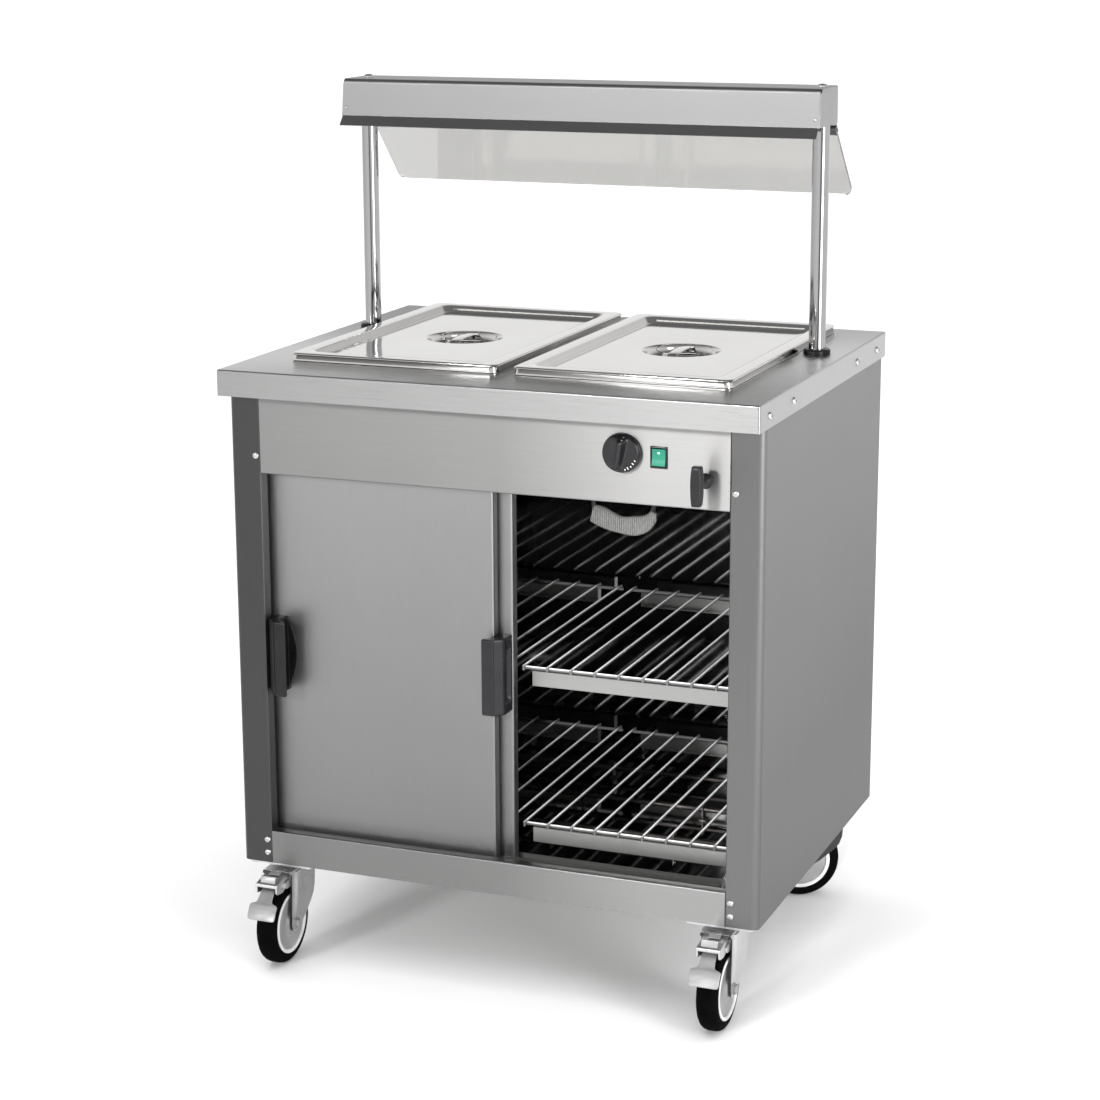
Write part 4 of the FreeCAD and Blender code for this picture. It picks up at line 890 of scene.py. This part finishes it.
def make_brake(corner, place):
    """The brake's sloping housing with its release tab and spring leaf, and the T-shaped pedal."""
    pivot = Vector(joints["pedal_" + corner + "_press"]["pos_m"])
    shape = bmesh.new()
    for x in (-17.5, 15.0):
        slab(shape, rounded_outline(CHEEK, 3.0), "YZ", x, x + 2.5, place)
    slab(shape, rounded_outline(HOUSING_ROOF, 1.0, 2), "YZ", -17.5, 17.5, place)
    for x in (-19.8, 17.4):
        slab(shape, rounded_outline(SHOULDER, 3.0), "YZ", x, x + 2.4, place)
    piece("brake_housing_" + corner, shape, zinc, "castor_" + corner, bevel=0.5 * MM)

    shape = bmesh.new()
    slab(shape, rounded_outline(TAB, 0.8, 2), "YZ", -12, 12, place)
    slab(shape, rounded_outline(TAB_FOOT, 0.8, 2), "YZ", -9, 9, place)
    slab(shape, rounded_outline(LEAF, 0.5), "YZ", -9, 9, place)
    pin = place @ Matrix.Translation((0, pivot.y - place.translation.y, pivot.z))
    skin(shape, turned_loops(PEDAL_PIN, pin, 24))
    piece("brake_tab_" + corner, shape, bright_zinc, "castor_" + corner, bevel=0.4 * MM)

    shape = bmesh.new()
    path = smooth_path(PEDAL_PATH, 3)
    sections = [soft_section(p.z * MM, 1.25 * MM, 0.9 * MM) for p in path]
    skin(shape, swept_loops([Vector((0, p.x * MM, p.y * MM)) for p in path], sections))
    shape.transform(place)
    piece("pedal_plate_" + corner, shape, bright_zinc, "pedal_" + corner,
          replaces=["brake_pedal_" + corner], sharp=50.0)


for side, hand in (("left", -1), ("right", 1)):
    make_lid(side)
    make_pull(side, hand)
make_knob()
make_drain_lever()
make_switch()
make_sleeve()
for corner in CORNERS:
    make_wheel(corner)
    make_fork(corner, corner.startswith("front"))


# ---- floor, light and camera --------------------------------------------------------------------
FLOOR_REACH = 70.0


def make_floor():
    mesh = bpy.data.meshes.new("floor")
    shape = bmesh.new()
    bmesh.ops.create_grid(shape, x_segments=1, y_segments=1, size=FLOOR_REACH)
    shape.to_mesh(mesh)
    shape.free()
    floor = bpy.data.objects.new("floor", mesh)
    bpy.context.scene.collection.objects.link(floor)
    material, tree, shader = new_material("floor_paint")
    tone = noise(tree, (0.8, 0.8, 0.8), detail=2.0)
    shade = ramp(tree, tone, (0.89, 0.89, 0.89), (0.91, 0.91, 0.91))
    tree.links.new(shade, shader.inputs["Base Color"])
    shader.inputs["Roughness"].default_value = 0.9
    shader.inputs["Specular IOR Level"].default_value = 0.1
    mesh.materials.append(material)


def make_world():
    """A bright band round the horizon that dims overhead."""
    world = bpy.data.worlds.new("studio")
    bpy.context.scene.world = world
    world.use_nodes = True
    tree = world.node_tree
    height = part_of(tree, tree.nodes.new("ShaderNodeTexCoord").outputs["Generated"], "Z")
    shade = ramp(tree, height, WHITE, (0.22, 0.22, 0.225), 0.26, 0.72)
    background = tree.nodes["Background"]
    tree.links.new(shade, background.inputs["Color"])
    background.inputs["Strength"].default_value = 1.0


def add_light(name, kind, place, target, strength, in_mirrors=True):
    data = bpy.data.lights.new(name, kind)
    data.energy = strength
    light = bpy.data.objects.new(name, data)
    light.location = place
    light.rotation_euler = (Vector(target) - Vector(place)).to_track_quat("-Z", "Y").to_euler()
    light.visible_glossy = in_mirrors
    bpy.context.scene.collection.objects.link(light)
    return data


def far_light(name, azimuth, elevation, strength, angle, in_mirrors=True):
    """Light from a direction: azimuth in degrees to the right of the doors' own outlook, -Y."""
    turn, rise = math.radians(azimuth), math.radians(elevation)
    level = math.cos(rise)
    place = 6 * Vector((math.sin(turn) * level, -math.cos(turn) * level, math.sin(rise)))
    data = add_light(name, "SUN", place, (0, 0, 0), strength, in_mirrors)
    data.angle = math.radians(angle)


def soft_box(name, place, target, size, power):
    data = add_light(name, "AREA", place, target, power)
    data.shape = "RECTANGLE"
    data.size, data.size_y = size


def spot_light(name, place, target, cone, power):
    data = add_light(name, "SPOT", place, target, power, in_mirrors=False)
    data.spot_size = math.radians(cone)
    data.spot_blend = 0.7
    data.shadow_soft_size = 0.12


def make_camera():
    """Stands in front and to the right, a little above the worktop, and looks slightly down."""
    place = Vector((1.39482, -3.57785, 1.55504))
    yaw, pitch, roll = 0.376, 0.242, -0.004
    focal_length = 85.52
    level = math.cos(pitch)
    ahead = Vector((-math.sin(yaw) * level, math.cos(yaw) * level, -math.sin(pitch)))
    right = Vector((math.cos(yaw), math.sin(yaw), 0.0))
    up = right.cross(ahead)
    turned_right = right * math.cos(roll) + up * math.sin(roll)
    turned_up = up * math.cos(roll) - right * math.sin(roll)
    data = bpy.data.cameras.new("camera")
    data.lens = focal_length
    data.sensor_width = 36.0
    data.clip_end = 200.0
    camera = bpy.data.objects.new("camera", data)
    basis = Matrix((turned_right, turned_up, -ahead)).transposed().to_4x4()
    camera.matrix_world = Matrix.Translation(place) @ basis
    bpy.context.scene.collection.objects.link(camera)
    bpy.context.scene.camera = camera


make_floor()
make_world()
far_light("key", -17.0, 20.0, 1.0, 8.0)
far_light("overhead", 0.0, 84.0, 2.5, 70.0, in_mirrors=False)
soft_box("strip", (2.7, -1.75, 1.35), (0.36, 0.1, 1.1), (0.9, 2.2), 60.0)
spot_light("cupboard_fill", (1.0, -3.5, 1.05), (0.21, 0.1, 0.44), 13.0, 1500.0)
make_camera()
bpy.context.scene.view_settings.view_transform = "Standard"
